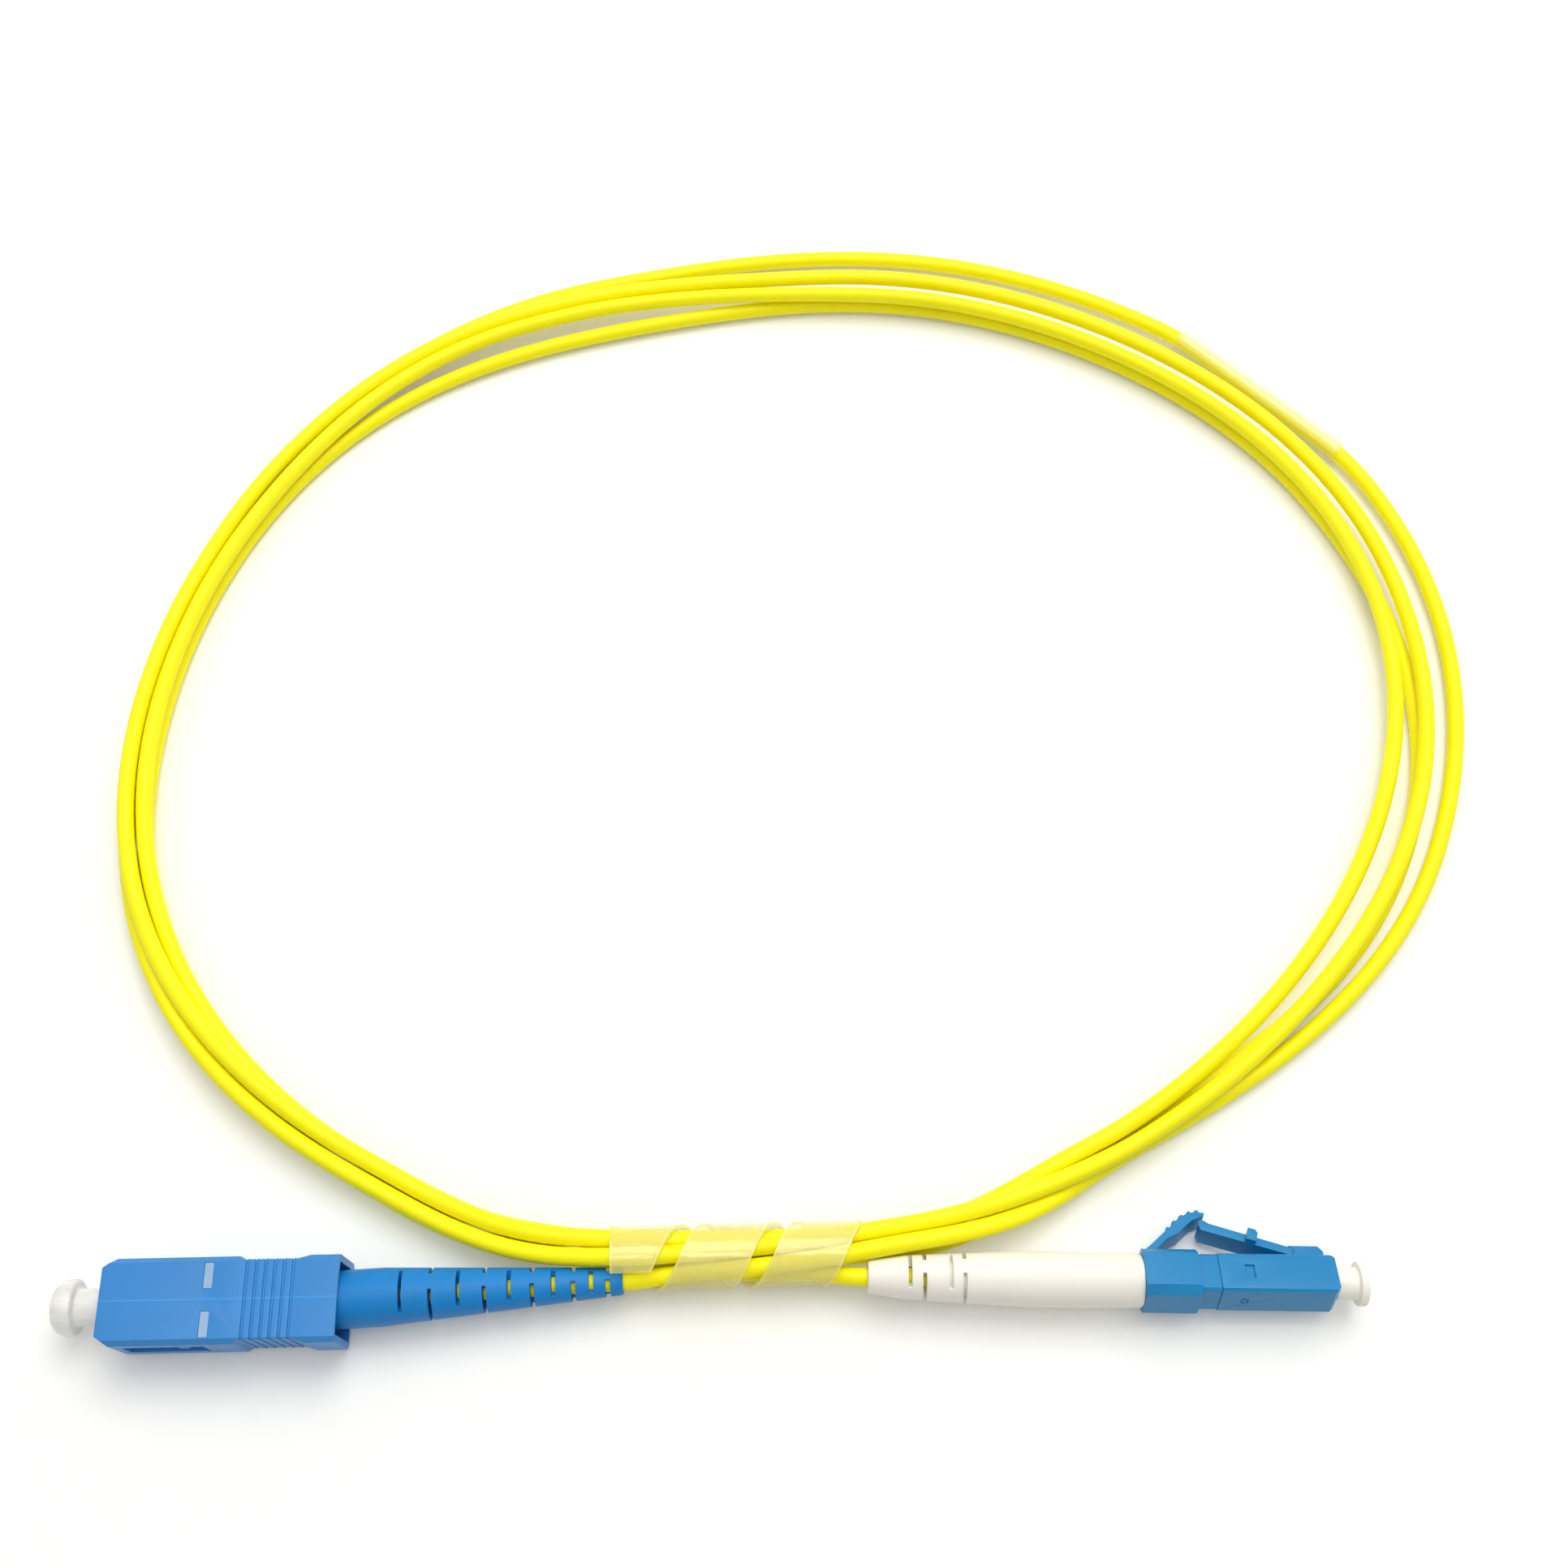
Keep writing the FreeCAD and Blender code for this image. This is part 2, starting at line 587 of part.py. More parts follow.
def boot_slots(x, width, radius, bridge, turn):
    """Cutter for one ring of a slotted boot: two slots with a bridge at each side between them."""
    ring = ring_tube(x - width / 2, x + width / 2, 2 * radius + 2, JACKET + 2 * LOOSE_FIT + 0.1)
    keep = math.radians(bridge / 2)
    reach = radius + 3
    wedges = []
    for side in (-1, 1):
        corner = side * reach
        points = [V(x - width, 0, 0), V(x - width, corner, -reach * math.tan(keep)),
                  V(x - width, corner, reach * math.tan(keep))]
        wedge = Part.Face(Part.makePolygon(points + [points[0]])).extrude(V(2 * width, 0, 0))
        wedges.append(wedge)
    cutter = ring.cut(wedges)
    cutter.rotate(V(0, 0, 0), X_AXIS, turn)
    return cutter


SQ_BOOT_FROM = SQ_POCKET_FROM + SQ_GRIP_TRAVEL + 0.25 - SQ_BOOT_PIVOT


def sq_boot_line():
    """Length from the pivot to the tip, and pitch, of the boot's own axis."""
    return SQ_BOOT_REACH, math.degrees(math.asin(SQ_BOOT_DROP / SQ_BOOT_REACH))


def sq_boot():
    """Slotted strain relief, drawn from its pivot at x = 0 along +X."""
    tip = sq_boot_line()[0]
    cone = tip - SQ_BOOT_CONE
    outline = [(SQ_BOOT_FROM, 0), (SQ_BOOT_FROM, SQ_BOOT_ROOT / 2 - 0.2),
               (SQ_BOOT_FROM + 0.2, SQ_BOOT_ROOT / 2),
               (cone, SQ_BOOT_ROOT / 2 - 0.05), (tip - 0.3, SQ_BOOT_TIP / 2),
               (tip, SQ_BOOT_TIP / 2 - 0.15), (tip, 0)]
    body = turned(outline)
    crimp_end = SQ_SPIGOT_FROM + SQ_CRIMP_LENGTH + 0.5 - SQ_BOOT_PIVOT
    bore = JACKET / 2 + LOOSE_FIT
    hollow = turned([(SQ_BOOT_FROM - 1, 0), (SQ_BOOT_FROM - 1, SQ_BOOT_BORE / 2),
                     (crimp_end, SQ_BOOT_BORE / 2),
                     (crimp_end + 1.2, bore), (tip + 1, bore), (tip + 1, 0)])
    cuts = [hollow]
    x = tip - SQ_BOOT_FIRST_RING
    for i in range(SQ_BOOT_RINGS):
        radius = SQ_BOOT_TIP / 2 + (SQ_BOOT_ROOT - SQ_BOOT_TIP) / 2 * (tip - x) / SQ_BOOT_CONE
        bridge, turn = SQ_BOOT_TOP_SLOTS if i % 2 else SQ_BOOT_SIDE_SLOTS
        cuts.append(boot_slots(x, SQ_BOOT_SLOT, radius, bridge, turn))
        x -= SQ_BOOT_RING_STEP + SQ_BOOT_RING_GROWTH * i
    return body.cut(cuts)


def sq_cord_lead():
    """Jacketed end of the cord inside the boot."""
    tip = sq_boot_line()[0]
    return bar(SQ_LEAD_FROM - SQ_BOOT_PIVOT, tip, JACKET)


def sq_dust_cap():
    """Push-on cap of the ferrule, with its round head outside."""
    head = -SQ_CAP_STEM_OUT
    tip = head - SQ_CAP_HEAD_LENGTH
    r = SQ_CAP_HEAD / 2
    c = SQ_CAP_ROUND
    outline = [(tip, 0), (tip, r - c), (tip + c * 0.3, r - c * 0.3), (tip + c, r), (head - 0.3, r),
               (head, r - 0.3),
               (head, SQ_CAP_STEM / 2), (SQ_CAP_STEM_IN - 0.3, SQ_CAP_STEM / 2),
               (SQ_CAP_STEM_IN, SQ_CAP_STEM / 2 - 0.2),
               (SQ_CAP_STEM_IN, 0)]
    bore = bar(-SQ_FERRULE_OUT - SQ_CAP_TIP_ROOM, SQ_CAP_STEM_IN + 1, SQ_FERRULE + 2 * CAP_GRIP_FIT)
    return turned(outline).cut(bore)


# Small plug

SM_REAR = -SM_HOUSING_LENGTH
SM_WEB_FROM = -SM_FRONT_BORE_DEPTH
SM_FLANGE_FROM = SM_WEB_FROM - SM_WEB - SLIDE_FIT
SM_CLIP_FROM = SM_REAR - SM_CLIP_GAP
SM_CLIP_TO = SM_CLIP_FROM - SM_CLIP_LENGTH
SM_STOP_FROM = SM_REAR + 1.1
SM_SPIGOT_TO = SM_CLIP_TO - SM_SPIGOT_LENGTH
SM_FERRULE_TO = SM_FERRULE_OUT - SM_FERRULE_LENGTH


def sm_front_housing():
    """Square front housing with the latch's root on its side."""
    half = SM_BODY / 2
    body = octagon_bar(SM_REAR, 0, SM_BODY, SM_BODY, 0.25)
    nose = plate([(SM_REAR - 1, -half), (-SM_NOSE_CUT, -half), (0, SM_NOSE_CUT - half),
                  (0, half - SM_NOSE_CUT),
                  (-SM_NOSE_CUT, half), (SM_REAR - 1, half)], SM_BODY + 1)
    body = body.common(nose)
    root = plate([(-SM_ROOT_TO, half - 0.5), (-SM_ROOT_TO, SM_ROOT_TOP), (-SM_ROOT_FROM - 0.5, SM_ROOT_TOP),
                  (-SM_ROOT_FROM, SM_ROOT_TOP - 0.6), (-SM_ROOT_FROM, half - 0.5)], SM_LATCH_WIDTH)
    body = body.fuse(root)
    hinge_x, hinge_y = SM_LATCH_HINGE
    knuckle = Part.makeCylinder(SM_LATCH_KNUCKLE + SLIDE_FIT, SM_BODY + 2, V(hinge_x, hinge_y, -half - 1),
                                Z_AXIS)
    long_side, wide_side, deep = SM_POCKET
    pocket = block(-SM_POCKET_FROM - long_side, -SM_POCKET_FROM, -wide_side / 2, wide_side / 2,
                   half - deep, half + 1)
    dot = ring_tube(0, 1, SM_DOT, SM_DOT * 0.6)
    dot.rotate(V(0, 0, 0), Z_AXIS, -90)
    dot.translate(V(-SM_DOT_AT, -half + 0.12, 0))
    cuts = [knuckle, pocket, dot, bar(SM_WEB_FROM, 1, SM_FRONT_BORE),
            bar(SM_WEB_FROM - SM_WEB - 1, SM_WEB_FROM + 1, SM_FERRULE + 2 * LOOSE_FIT),
            bar(SM_REAR - 1, SM_WEB_FROM - SM_WEB, SM_REAR_BORE)]
    return body.cut(cuts)


def along_latch(run, rise):
    """Point of the latch: run back from its hinge along the beam, rise off the beam's middle."""
    slope = math.radians(SM_LATCH_SLOPE)
    x, y = SM_LATCH_HINGE
    back = run * math.cos(slope) - rise * math.sin(slope)
    return x - back, y + run * math.sin(slope) + rise * math.cos(slope)


def sm_latch():
    """Springy latch beam with its two catching ears and an upturned tail."""
    t = SM_LATCH_THICK / 2
    reach = SM_LATCH_REACH
    beam = [(0, -SM_LATCH_KNUCKLE * 0.9), (reach, -t), (reach + 0.35, 0.1), (reach + 0.3, t + SM_HOOK_RISE),
            (reach - 0.15, t + SM_HOOK_RISE), (reach - 0.7, t), (0, SM_LATCH_KNUCKLE * 0.9)]
    body = plate([along_latch(a, b) for a, b in beam], SM_LATCH_WIDTH)
    ear = [(SM_EAR_AT, -t), (SM_EAR_AT + SM_EAR_LENGTH, -t), (SM_EAR_AT + SM_EAR_LENGTH, t + SM_EAR_RISE),
           (SM_EAR_AT + 0.3, t + SM_EAR_RISE), (SM_EAR_AT, t)]
    body = body.fuse(plate([along_latch(a, b) for a, b in ear], SM_EAR_WIDTH))
    x, y = SM_LATCH_HINGE
    half = SM_LATCH_WIDTH / 2
    return body.fuse(Part.makeCylinder(SM_LATCH_KNUCKLE, SM_LATCH_WIDTH, V(x, y, -half), Z_AXIS))


def sm_trigger_hinge():
    """Axis of the trigger on the rear clip."""
    return SM_CLIP_FROM - SM_TRIGGER_HINGE_BACK, SM_CLIP / 2 + 0.15


def sm_rear_clip():
    """Block that slips over the rear body and carries the trigger."""
    body = octagon_bar(SM_CLIP_TO, SM_CLIP_FROM, SM_CLIP, SM_CLIP, SM_CLIP_EDGE)
    x, y = sm_trigger_hinge()
    half = SM_TRIGGER_WIDTH / 2
    knuckle = SM_TRIGGER_KNUCKLE + SLIDE_FIT
    seat = Part.makeCylinder(knuckle, SM_TRIGGER_WIDTH + 2 * SLIDE_FIT, V(x, y, -half - SLIDE_FIT), Z_AXIS)
    return body.cut([seat, bar(SM_CLIP_TO - 1, SM_CLIP_FROM + 1, SM_STOP_BODY + 2 * SEAT_GAP)])


def sm_trigger():
    """Bent lever that guards the latch and presses on its tail, ribbed where the finger lies."""
    hx, hy = sm_trigger_hinge()
    outer = [(-0.45, 0.2), (1.75, 2.3), (2.65, 3.1), (3.4, 3.9), (4.3, 4.5), (5.3, 4.85), (6.45, 4.75)]
    inner = [(6.35, 4.4), (5.0, 3.8), (4.1, 3.0), (3.3, 2.2), (2.0, 1.55), (0.45, 0.0)]
    body = plate([(hx + a, hy + b) for a, b in outer + inner], SM_TRIGGER_WIDTH)
    ribs = []
    for i in range(SM_TRIGGER_RIBS):
        part = i / (SM_TRIGGER_RIBS - 1)
        a = 2.2 + 3.4 * part
        b = 2.72 + 2.15 * math.sin(part * math.pi / 2)
        ribs.append(Part.makeCylinder(SM_TRIGGER_RIB, SM_TRIGGER_WIDTH,
                                      V(hx + a, hy + b, -SM_TRIGGER_WIDTH / 2), Z_AXIS))
    knuckle = Part.makeCylinder(SM_TRIGGER_KNUCKLE, SM_TRIGGER_WIDTH, V(hx, hy, -SM_TRIGGER_WIDTH / 2),
                                Z_AXIS)
    return body.fuse(ribs + [knuckle])


def sm_ferrule():
    """Small ceramic ferrule."""
    r = SM_FERRULE / 2
    tip = SM_FERRULE_OUT
    return turned([(tip, 0), (tip, r - SM_FERRULE_CHAMFER), (tip - SM_FERRULE_CHAMFER, r),
                   (SM_FERRULE_TO, r),
                   (SM_FERRULE_TO, 0)])


def sm_ferrule_flange():
    """Flange and tail of the small ferrule."""
    end = SM_FLANGE_FROM - SM_FLANGE_LENGTH
    body = bar(end, SM_FLANGE_FROM, SM_FLANGE).fuse(bar(end - SM_TAIL_LENGTH, end, SM_TAIL))
    for side in (-1, 1):
        body = body.cut(block(end + 0.5, SM_FLANGE_FROM, -0.3, 0.3, side * SM_FLANGE * 0.42,
                              side * SM_FLANGE))
    return body.cut([bar(SM_FERRULE_TO, SM_FLANGE_FROM + 1, SM_FERRULE),
                     bar(end - SM_TAIL_LENGTH - 1, SM_FERRULE_TO + 1, BUFFER + 2 * BUFFER_FIT)])


def sm_spring():
    """Spring of the small ferrule."""
    return coil_spring(SM_STOP_FROM, SM_FLANGE_FROM - SM_FLANGE_LENGTH, SM_SPRING_OUTER, SM_SPRING_WIRE,
                       SM_SPRING_TURNS)


def sm_stop_body():
    """Rear body: plugs the housing, shows as the neck, passes the clip and ends in the spigot."""
    r = SM_SPIGOT / 2
    plug = SM_REAR_BORE / 2 - SEAT_GAP
    neck = SM_REAR - SEAT_GAP
    outline = [(SM_STOP_FROM, 0), (SM_STOP_FROM, plug), (neck, plug), (neck, SM_STOP_BODY / 2),
               (SM_CLIP_TO, SM_STOP_BODY / 2)]
    step = (SM_SPIGOT_LENGTH - SPIGOT_END) / SPIGOT_GROOVE_COUNT
    for i in range(SPIGOT_GROOVE_COUNT):
        x = SM_CLIP_TO - step * i
        outline += [(x, r), (x - step * 0.6, r), (x - step * 0.7, r - 0.1), (x - step * 0.9, r - 0.1)]
    outline += [(SM_SPIGOT_TO + SPIGOT_END, r), (SM_SPIGOT_TO, r), (SM_SPIGOT_TO, 0)]
    square = octagon_bar(SM_CLIP_FROM + SEAT_GAP, neck, SM_NECK, SM_NECK, SM_NECK_EDGE)
    return turned(outline).fuse(square).cut(bar(SM_SPIGOT_TO - 1, SM_STOP_FROM + 1, SM_STOP_BORE))


def sm_crimp_sleeve():
    """Metal crimp sleeve of the small plug."""
    start = SM_CLIP_TO - LOOSE_FIT
    return crimp_tube(start - SM_CRIMP_LENGTH, start, SM_CRIMP, SM_CRIMP_WALL)


def sm_aramid_yarn():
    """Strength yarn caught under the small crimp."""
    start = SM_CLIP_TO - 2 * LOOSE_FIT
    bore = SM_CRIMP - 2 * SM_CRIMP_WALL
    return ring_tube(start - SM_CRIMP_LENGTH + 0.4, start, bore - 2 * SEAT_GAP, SM_SPIGOT + 2 * SEAT_GAP)


SM_LEAD_FROM = SM_SPIGOT_TO - FIBRE_SLACK - 0.6
SM_BOOT_ROOT_AT = SM_CLIP_TO - SEAT_GAP
SM_TIP = SM_BOOT_ROOT_AT - SM_BOOT_LENGTH


def sm_buffered_fibre():
    """Buffered fibre of the small plug."""
    return bar(SM_LEAD_FROM + FIBRE_SLACK, SM_FERRULE_TO, BUFFER)


def sm_boot():
    """White strain relief, bellied, with four slotted rings near its tip."""
    tip = SM_TIP
    profile = [(0.0, SM_BOOT_TIP), (4.0, SM_BOOT_NECK), (10.3, 5.2), (17.3, SM_BOOT_BELLY),
               (23.5, SM_BOOT_BELLY),
               (SM_BOOT_LENGTH, SM_BOOT_ROOT)]
    points = [V(tip + a, d / 2, 0) for a, d in profile]
    curve = Part.BSplineCurve()
    curve.interpolate(points)
    edges = [curve.toShape(), Part.LineSegment(points[-1], V(tip + SM_BOOT_LENGTH, 0, 0)).toShape(),
             Part.LineSegment(V(tip + SM_BOOT_LENGTH, 0, 0), V(tip, 0, 0)).toShape(),
             Part.LineSegment(V(tip, 0, 0), points[0]).toShape()]
    body = Part.Face(Part.Wire(edges)).revolve(V(0, 0, 0), X_AXIS, FULL_TURN)
    crimp_end = SM_CLIP_TO - LOOSE_FIT - SM_CRIMP_LENGTH - 0.4
    bore = JACKET / 2 + LOOSE_FIT
    hollow = turned([(SM_BOOT_ROOT_AT + 1, 0), (SM_BOOT_ROOT_AT + 1, SM_BOOT_BORE / 2),
                     (crimp_end, SM_BOOT_BORE / 2),
                     (crimp_end - 1.0, bore), (tip - 1, bore), (tip - 1, 0)])
    cuts = [hollow]
    for i, x in enumerate(SM_BOOT_RINGS):
        bridge, turn = SM_BOOT_SIDE_SLOTS if i % 2 else SM_BOOT_TOP_SLOTS
        cuts.append(boot_slots(tip + x, SM_BOOT_SLOT, SM_BOOT_BELLY / 2, bridge, turn - SM_ROLL))
    return body.cut(cuts)


def sm_cord_lead():
    """Jacketed end of the cord inside the white boot."""
    return bar(SM_TIP, SM_LEAD_FROM, JACKET)


def sm_dust_cap():
    """Push-on cap of the small ferrule: stem, flange and the inner sleeve that grips."""
    stem = SEAT_GAP
    flange = SM_CAP_STEM_OUT
    end = flange + SM_CAP_FLANGE_LENGTH
    r = SM_CAP_FLANGE / 2
    outline = [(-SM_CAP_INNER_LENGTH, 0), (-SM_CAP_INNER_LENGTH, SM_CAP_INNER / 2),
               (stem, SM_CAP_INNER / 2),
               (stem, SM_CAP_STEM / 2), (flange, SM_CAP_STEM / 2), (flange, r), (end - 0.25, r),
               (end, r - 0.25),
               (end, 0)]
    bore = bar(-SM_CAP_INNER_LENGTH - 1, SM_FERRULE_OUT + SM_CAP_TIP_ROOM, SM_FERRULE + 2 * CAP_GRIP_FIT)
    return turned(outline).cut(bore)


# Coil of the cord

def oval(angle):
    """Radius of the coil's middle line at an angle round it."""
    return COIL_RADIUS + sum(size * math.cos(math.radians(times * (angle - crest)))
                             for times, size, crest in OVAL_WAVES)


def middle_point(angle):
    """Point of the coil's middle line on the table: the oval, straightened in the tie."""
    a = math.radians(angle)
    free = COIL_CENTRE + V(math.cos(a), math.sin(a), 0) * oval(angle)
    angle = angle % FULL_TURN
    share = (angle - TIE_FROM) / (TIE_TO - TIE_FROM)
    across = TIE_RIGHT - TIE_LEFT
    aside = V(across.y, -across.x, 0).normalize()
    tied = TIE_LEFT + across * share + aside * (4 * share * (1 - share) * TIE_BOW)
    blend = ease(angle, TIE_FROM - TIE_BLEND, TIE_FROM) * (1 - ease(angle, TIE_TO, TIE_TO + TIE_BLEND))
    return free + (tied - free) * blend


def swing(angle, size, leave, out, back, home):
    """How far a turn swings out at an angle; all angles count up from the tie."""
    angle = (angle - TIE_FROM) % FULL_TURN
    leave, out, back, home = ((a - TIE_FROM) % FULL_TURN for a in (leave, out, back, home))
    return size * ease(angle, leave, out) * (1 - ease(angle, back, home))


def phase(turn, angle):
    """Where a turn stands in the ring, 0 inward and 90 up; the angle counts from its tie to the next."""
    loose = RING_PHASE - RING_STEP * (turn + ease(angle - FULL_TURN, *TURN_OVER))
    if angle < FULL_TURN:
        tied = TIE_PHASE - TIE_STEP * turn + TIE_TWIST * (angle - TIE_FROM)
        return tied + (loose - tied) * ease(angle, TIE_TO, UNTIED)
    tied = TIE_PHASE - TIE_STEP * (turn + 1) + TIE_TWIST * (angle - FULL_TURN - TIE_FROM)
    return loose + (tied - loose) * ease(angle - FULL_TURN, GATHERED, TIE_FROM)


def ring_radius(angle):
    """Radius of the ring that keeps neighbouring turns one pitch apart."""
    step = (phase(0, angle) - phase(TURNS - 1, angle)) / (TURNS - 1)
    return PITCH / 2 / math.sin(math.radians(step / 2))


TIE_RING = PITCH / 2 / math.sin(math.radians(TIE_STEP / 2))


WRAP_BORE = 2 * (TIE_RING + JACKET / 2 + TIE_BOW / 2 + WRAP_ROOM)
WRAP_OUTER = WRAP_BORE + 2 * WRAP_WALL
TIE_HEIGHT = WRAP_OUTER / 2


def cord_point(turn, angle):
    """Point of the cord's middle line; the angle counts from the turn's own tie."""
    ring = ring_radius(angle)
    stand = math.radians(phase(turn, angle))
    lowest = min(math.sin(math.radians(phase(t, angle))) for t in range(TURNS))
    lying = JACKET / 2 + BEND_ROOM + COIL_LIFT - swing(angle, COIL_LIFT, *LOW_PLACE) - ring * lowest
    leaving = angle < FULL_TURN
    tied = 1 - ease(angle, TIE_TO, UNTIED) if leaving else ease(angle - FULL_TURN, GATHERED, TIE_FROM)
    height = lying + (TIE_HEIGHT - lying) * tied + ring * math.sin(stand)
    if turn == 0:
        raised = (SLEEVE_OUTER - JACKET) / 2 - COIL_LIFT
        height += swing(angle, raised, SLEEVE_FROM - SLEEVE_LIFT_RAMP, SLEEVE_FROM,
                        SLEEVE_TO, SLEEVE_TO + SLEEVE_LIFT_RAMP)
    out = sum(swing(angle, *swung) for swung in SWINGS[turn]) - ring * math.cos(stand)
    if turn == 0 and angle < FULL_TURN:
        size, start, end = JOIN
        out += size * (1 - ease(angle, start, end))
    if turn == TURNS - 1 and angle > FULL_TURN:
        size, start, end = LEAVE
        out += size * ease(angle - FULL_TURN, start, end)
    here = middle_point(angle)
    way = (middle_point(angle + 0.1) - here).normalize()
    return here + V(way.y, -way.x, 0) * out + V(0, 0, height)


def cord_knot(turn, angle):
    """Point and way of the cord at an angle."""
    way = cord_point(turn, angle + 0.2) - cord_point(turn, angle - 0.2)
    return cord_point(turn, angle), way.normalize()


def sleeve_ends():
    """Ends of the straight stretch under the label sleeve, on the first turn."""
    start = cord_point(0, SLEEVE_FROM + FULL_TURN)
    end = cord_point(0, SLEEVE_TO + FULL_TURN)
    return start, end, (end - start).normalize()


def plug_point(at, yaw, roll, point):
    """Point of a plug, and its axis, in the part's frame."""
    spin = FreeCAD.Rotation(Z_AXIS, yaw).multiply(FreeCAD.Rotation(X_AXIS, roll))
    return at + spin.multVec(point), spin.multVec(X_AXIS)


def cord_ends():
    """Where the cord leaves the two boots, with its way there."""
    pivot, _ = plug_point(SQ_AT, SQ_YAW, 0, V(SQ_BOOT_PIVOT, 0, 0))
    reach, pitch = sq_boot_line()
    spin = FreeCAD.Rotation(Z_AXIS, SQ_BOOT_YAW).multiply(FreeCAD.Rotation(Y_AXIS, pitch))
    first_way = spin.multVec(X_AXIS)
    last, last_way = plug_point(SM_AT, SM_YAW, SM_ROLL, V(SM_TIP, 0, 0))
    return pivot + first_way * reach, first_way, last, last_way


def cord_arcs():
    """The whole free cord: out of the blue boot, four turns round, and into the white boot."""
    first, first_way, last, last_way = cord_ends()
    middle = (TIE_FROM + TIE_TO) / 2
    sleeve_start, sleeve_end, sleeve_way = sleeve_ends()
    knots = [(first, first_way), (first + first_way * JACKET, first_way)]
    knots += [cord_knot(0, FIRST_STATION), cord_knot(0, middle)]
    for turn in range(TURNS):
        angles = [TIE_TO] + [a if a > TIE_FROM else a + FULL_TURN for a in STATIONS]
        angles += [TIE_FROM + FULL_TURN, middle + FULL_TURN]
        for angle in angles:
            if turn == 0 and SLEEVE_FROM < angle - FULL_TURN < SLEEVE_TO + 12:
                knots += [(sleeve_start, sleeve_way), (sleeve_end, sleeve_way)]
                continue
            knots.append(cord_knot(turn, angle))
    knots.append(cord_knot(TURNS - 1, LAST_STATION + FULL_TURN))
    knots += [(last - last_way * JACKET, last_way), (last, last_way)]
    return arcs_between(knots)


def cord_coil():
    """Two metres of cord as one unbroken tube."""
    arcs = cord_arcs()
    points = points_along(arcs, 0.5)
    length = points[-1][0]
    gap = least_gap(points, JACKET, 4 * JACKET)
    tube = wire_tube(arcs, JACKET)
    expected = math.pi * JACKET ** 2 / 4 * length
    print("cord length %.1f mm in %d arcs, least radius %.1f mm" % (length, len(arcs), least_radius(arcs)))
    print("cord least gap to itself %.3f mm" % gap)
    print("cord volume %.1f mm3, section times length %.1f mm3" % (tube.Volume, expected))
    return tube


def label_sleeve():
    """Clear sleeve round the straight stretch of the first turn."""
    start, end, way = sleeve_ends()
    middle = (start + end) * 0.5
    base = middle - way * (SLEEVE_LENGTH / 2)
    outer = Part.makeCylinder(SLEEVE_OUTER / 2, SLEEVE_LENGTH, base, way)
    inner = Part.makeCylinder(SLEEVE_BORE / 2, SLEEVE_LENGTH + 2, base - way, way)
    return outer.cut(inner)


def spiral_wrap():
    """Spiral wrap that ties the coil: a band wound round the bundle, both ends cut square."""
    across = TIE_RIGHT - TIE_LEFT
    aside = V(across.y, -across.x, 0).normalize()
    start = TIE_LEFT + aside * (TIE_BOW / 2) + V(0, 0, TIE_HEIGHT)
    turns = (WRAP_END - WRAP_START) / FULL_TURN
    first = WRAP_TOP + WRAP_PITCH * WRAP_START / FULL_TURN
    helix = Part.makeHelix(WRAP_PITCH, WRAP_PITCH * turns, WRAP_BORE / 2, 0, True)
    inner, outer, half = WRAP_BORE / 2, WRAP_OUTER / 2, WRAP_BAND / 2
    corners = [V(inner, 0, -half), V(outer, 0, -half), V(outer, 0, half), V(inner, 0, half)]
    band = Part.Wire(helix).makePipeShell([Part.makePolygon(corners + [corners[0]])], True, True)
    s, c = math.sin(math.radians(WRAP_START)), math.cos(math.radians(WRAP_START))
    spin = FreeCAD.Rotation(V(0, s, c), V(0, -c, s), X_AXIS, "XYZ")
    band.Placement = FreeCAD.Placement(V(first, 0, 0), spin)
    band = band.common(bar(0, across.Length, WRAP_OUTER + 1))
    return placed(band, start, math.degrees(math.atan2(across.y, across.x)))


def square_plug_pieces():
    """Pieces of the square plug on its own axis, and those on the boot's axis."""
    own = {
        "sc_grip_housing": sq_grip_housing(),
        "sc_plug_frame": sq_plug_frame(),
        "sc_ferrule": sq_ferrule(),
        "sc_ferrule_flange": sq_ferrule_flange(),
        "sc_spring": sq_spring(),
        "sc_stop_body": sq_stop_body(),
        "sc_crimp_sleeve": sq_crimp_sleeve(),
        "sc_aramid_yarn": sq_aramid_yarn(),
        "sc_buffered_fibre": sq_buffered_fibre(),
        "sc_dust_cap": sq_dust_cap(),
    }
    bent = {"sc_boot": sq_boot(), "sc_cord_lead": sq_cord_lead()}
    return own, bent


def small_plug_pieces():
    """Pieces of the small plug on its own axis."""
    return {
        "lc_front_housing": sm_front_housing(),
        "lc_latch": sm_latch(),
        "lc_rear_clip": sm_rear_clip(),
        "lc_trigger": sm_trigger(),
        "lc_ferrule": sm_ferrule(),
        "lc_ferrule_flange": sm_ferrule_flange(),
        "lc_spring": sm_spring(),
        "lc_stop_body": sm_stop_body(),
        "lc_crimp_sleeve": sm_crimp_sleeve(),
        "lc_aramid_yarn": sm_aramid_yarn(),
        "lc_buffered_fibre": sm_buffered_fibre(),
        "lc_boot": sm_boot(),
        "lc_cord_lead": sm_cord_lead(),
        "lc_dust_cap": sm_dust_cap(),
    }


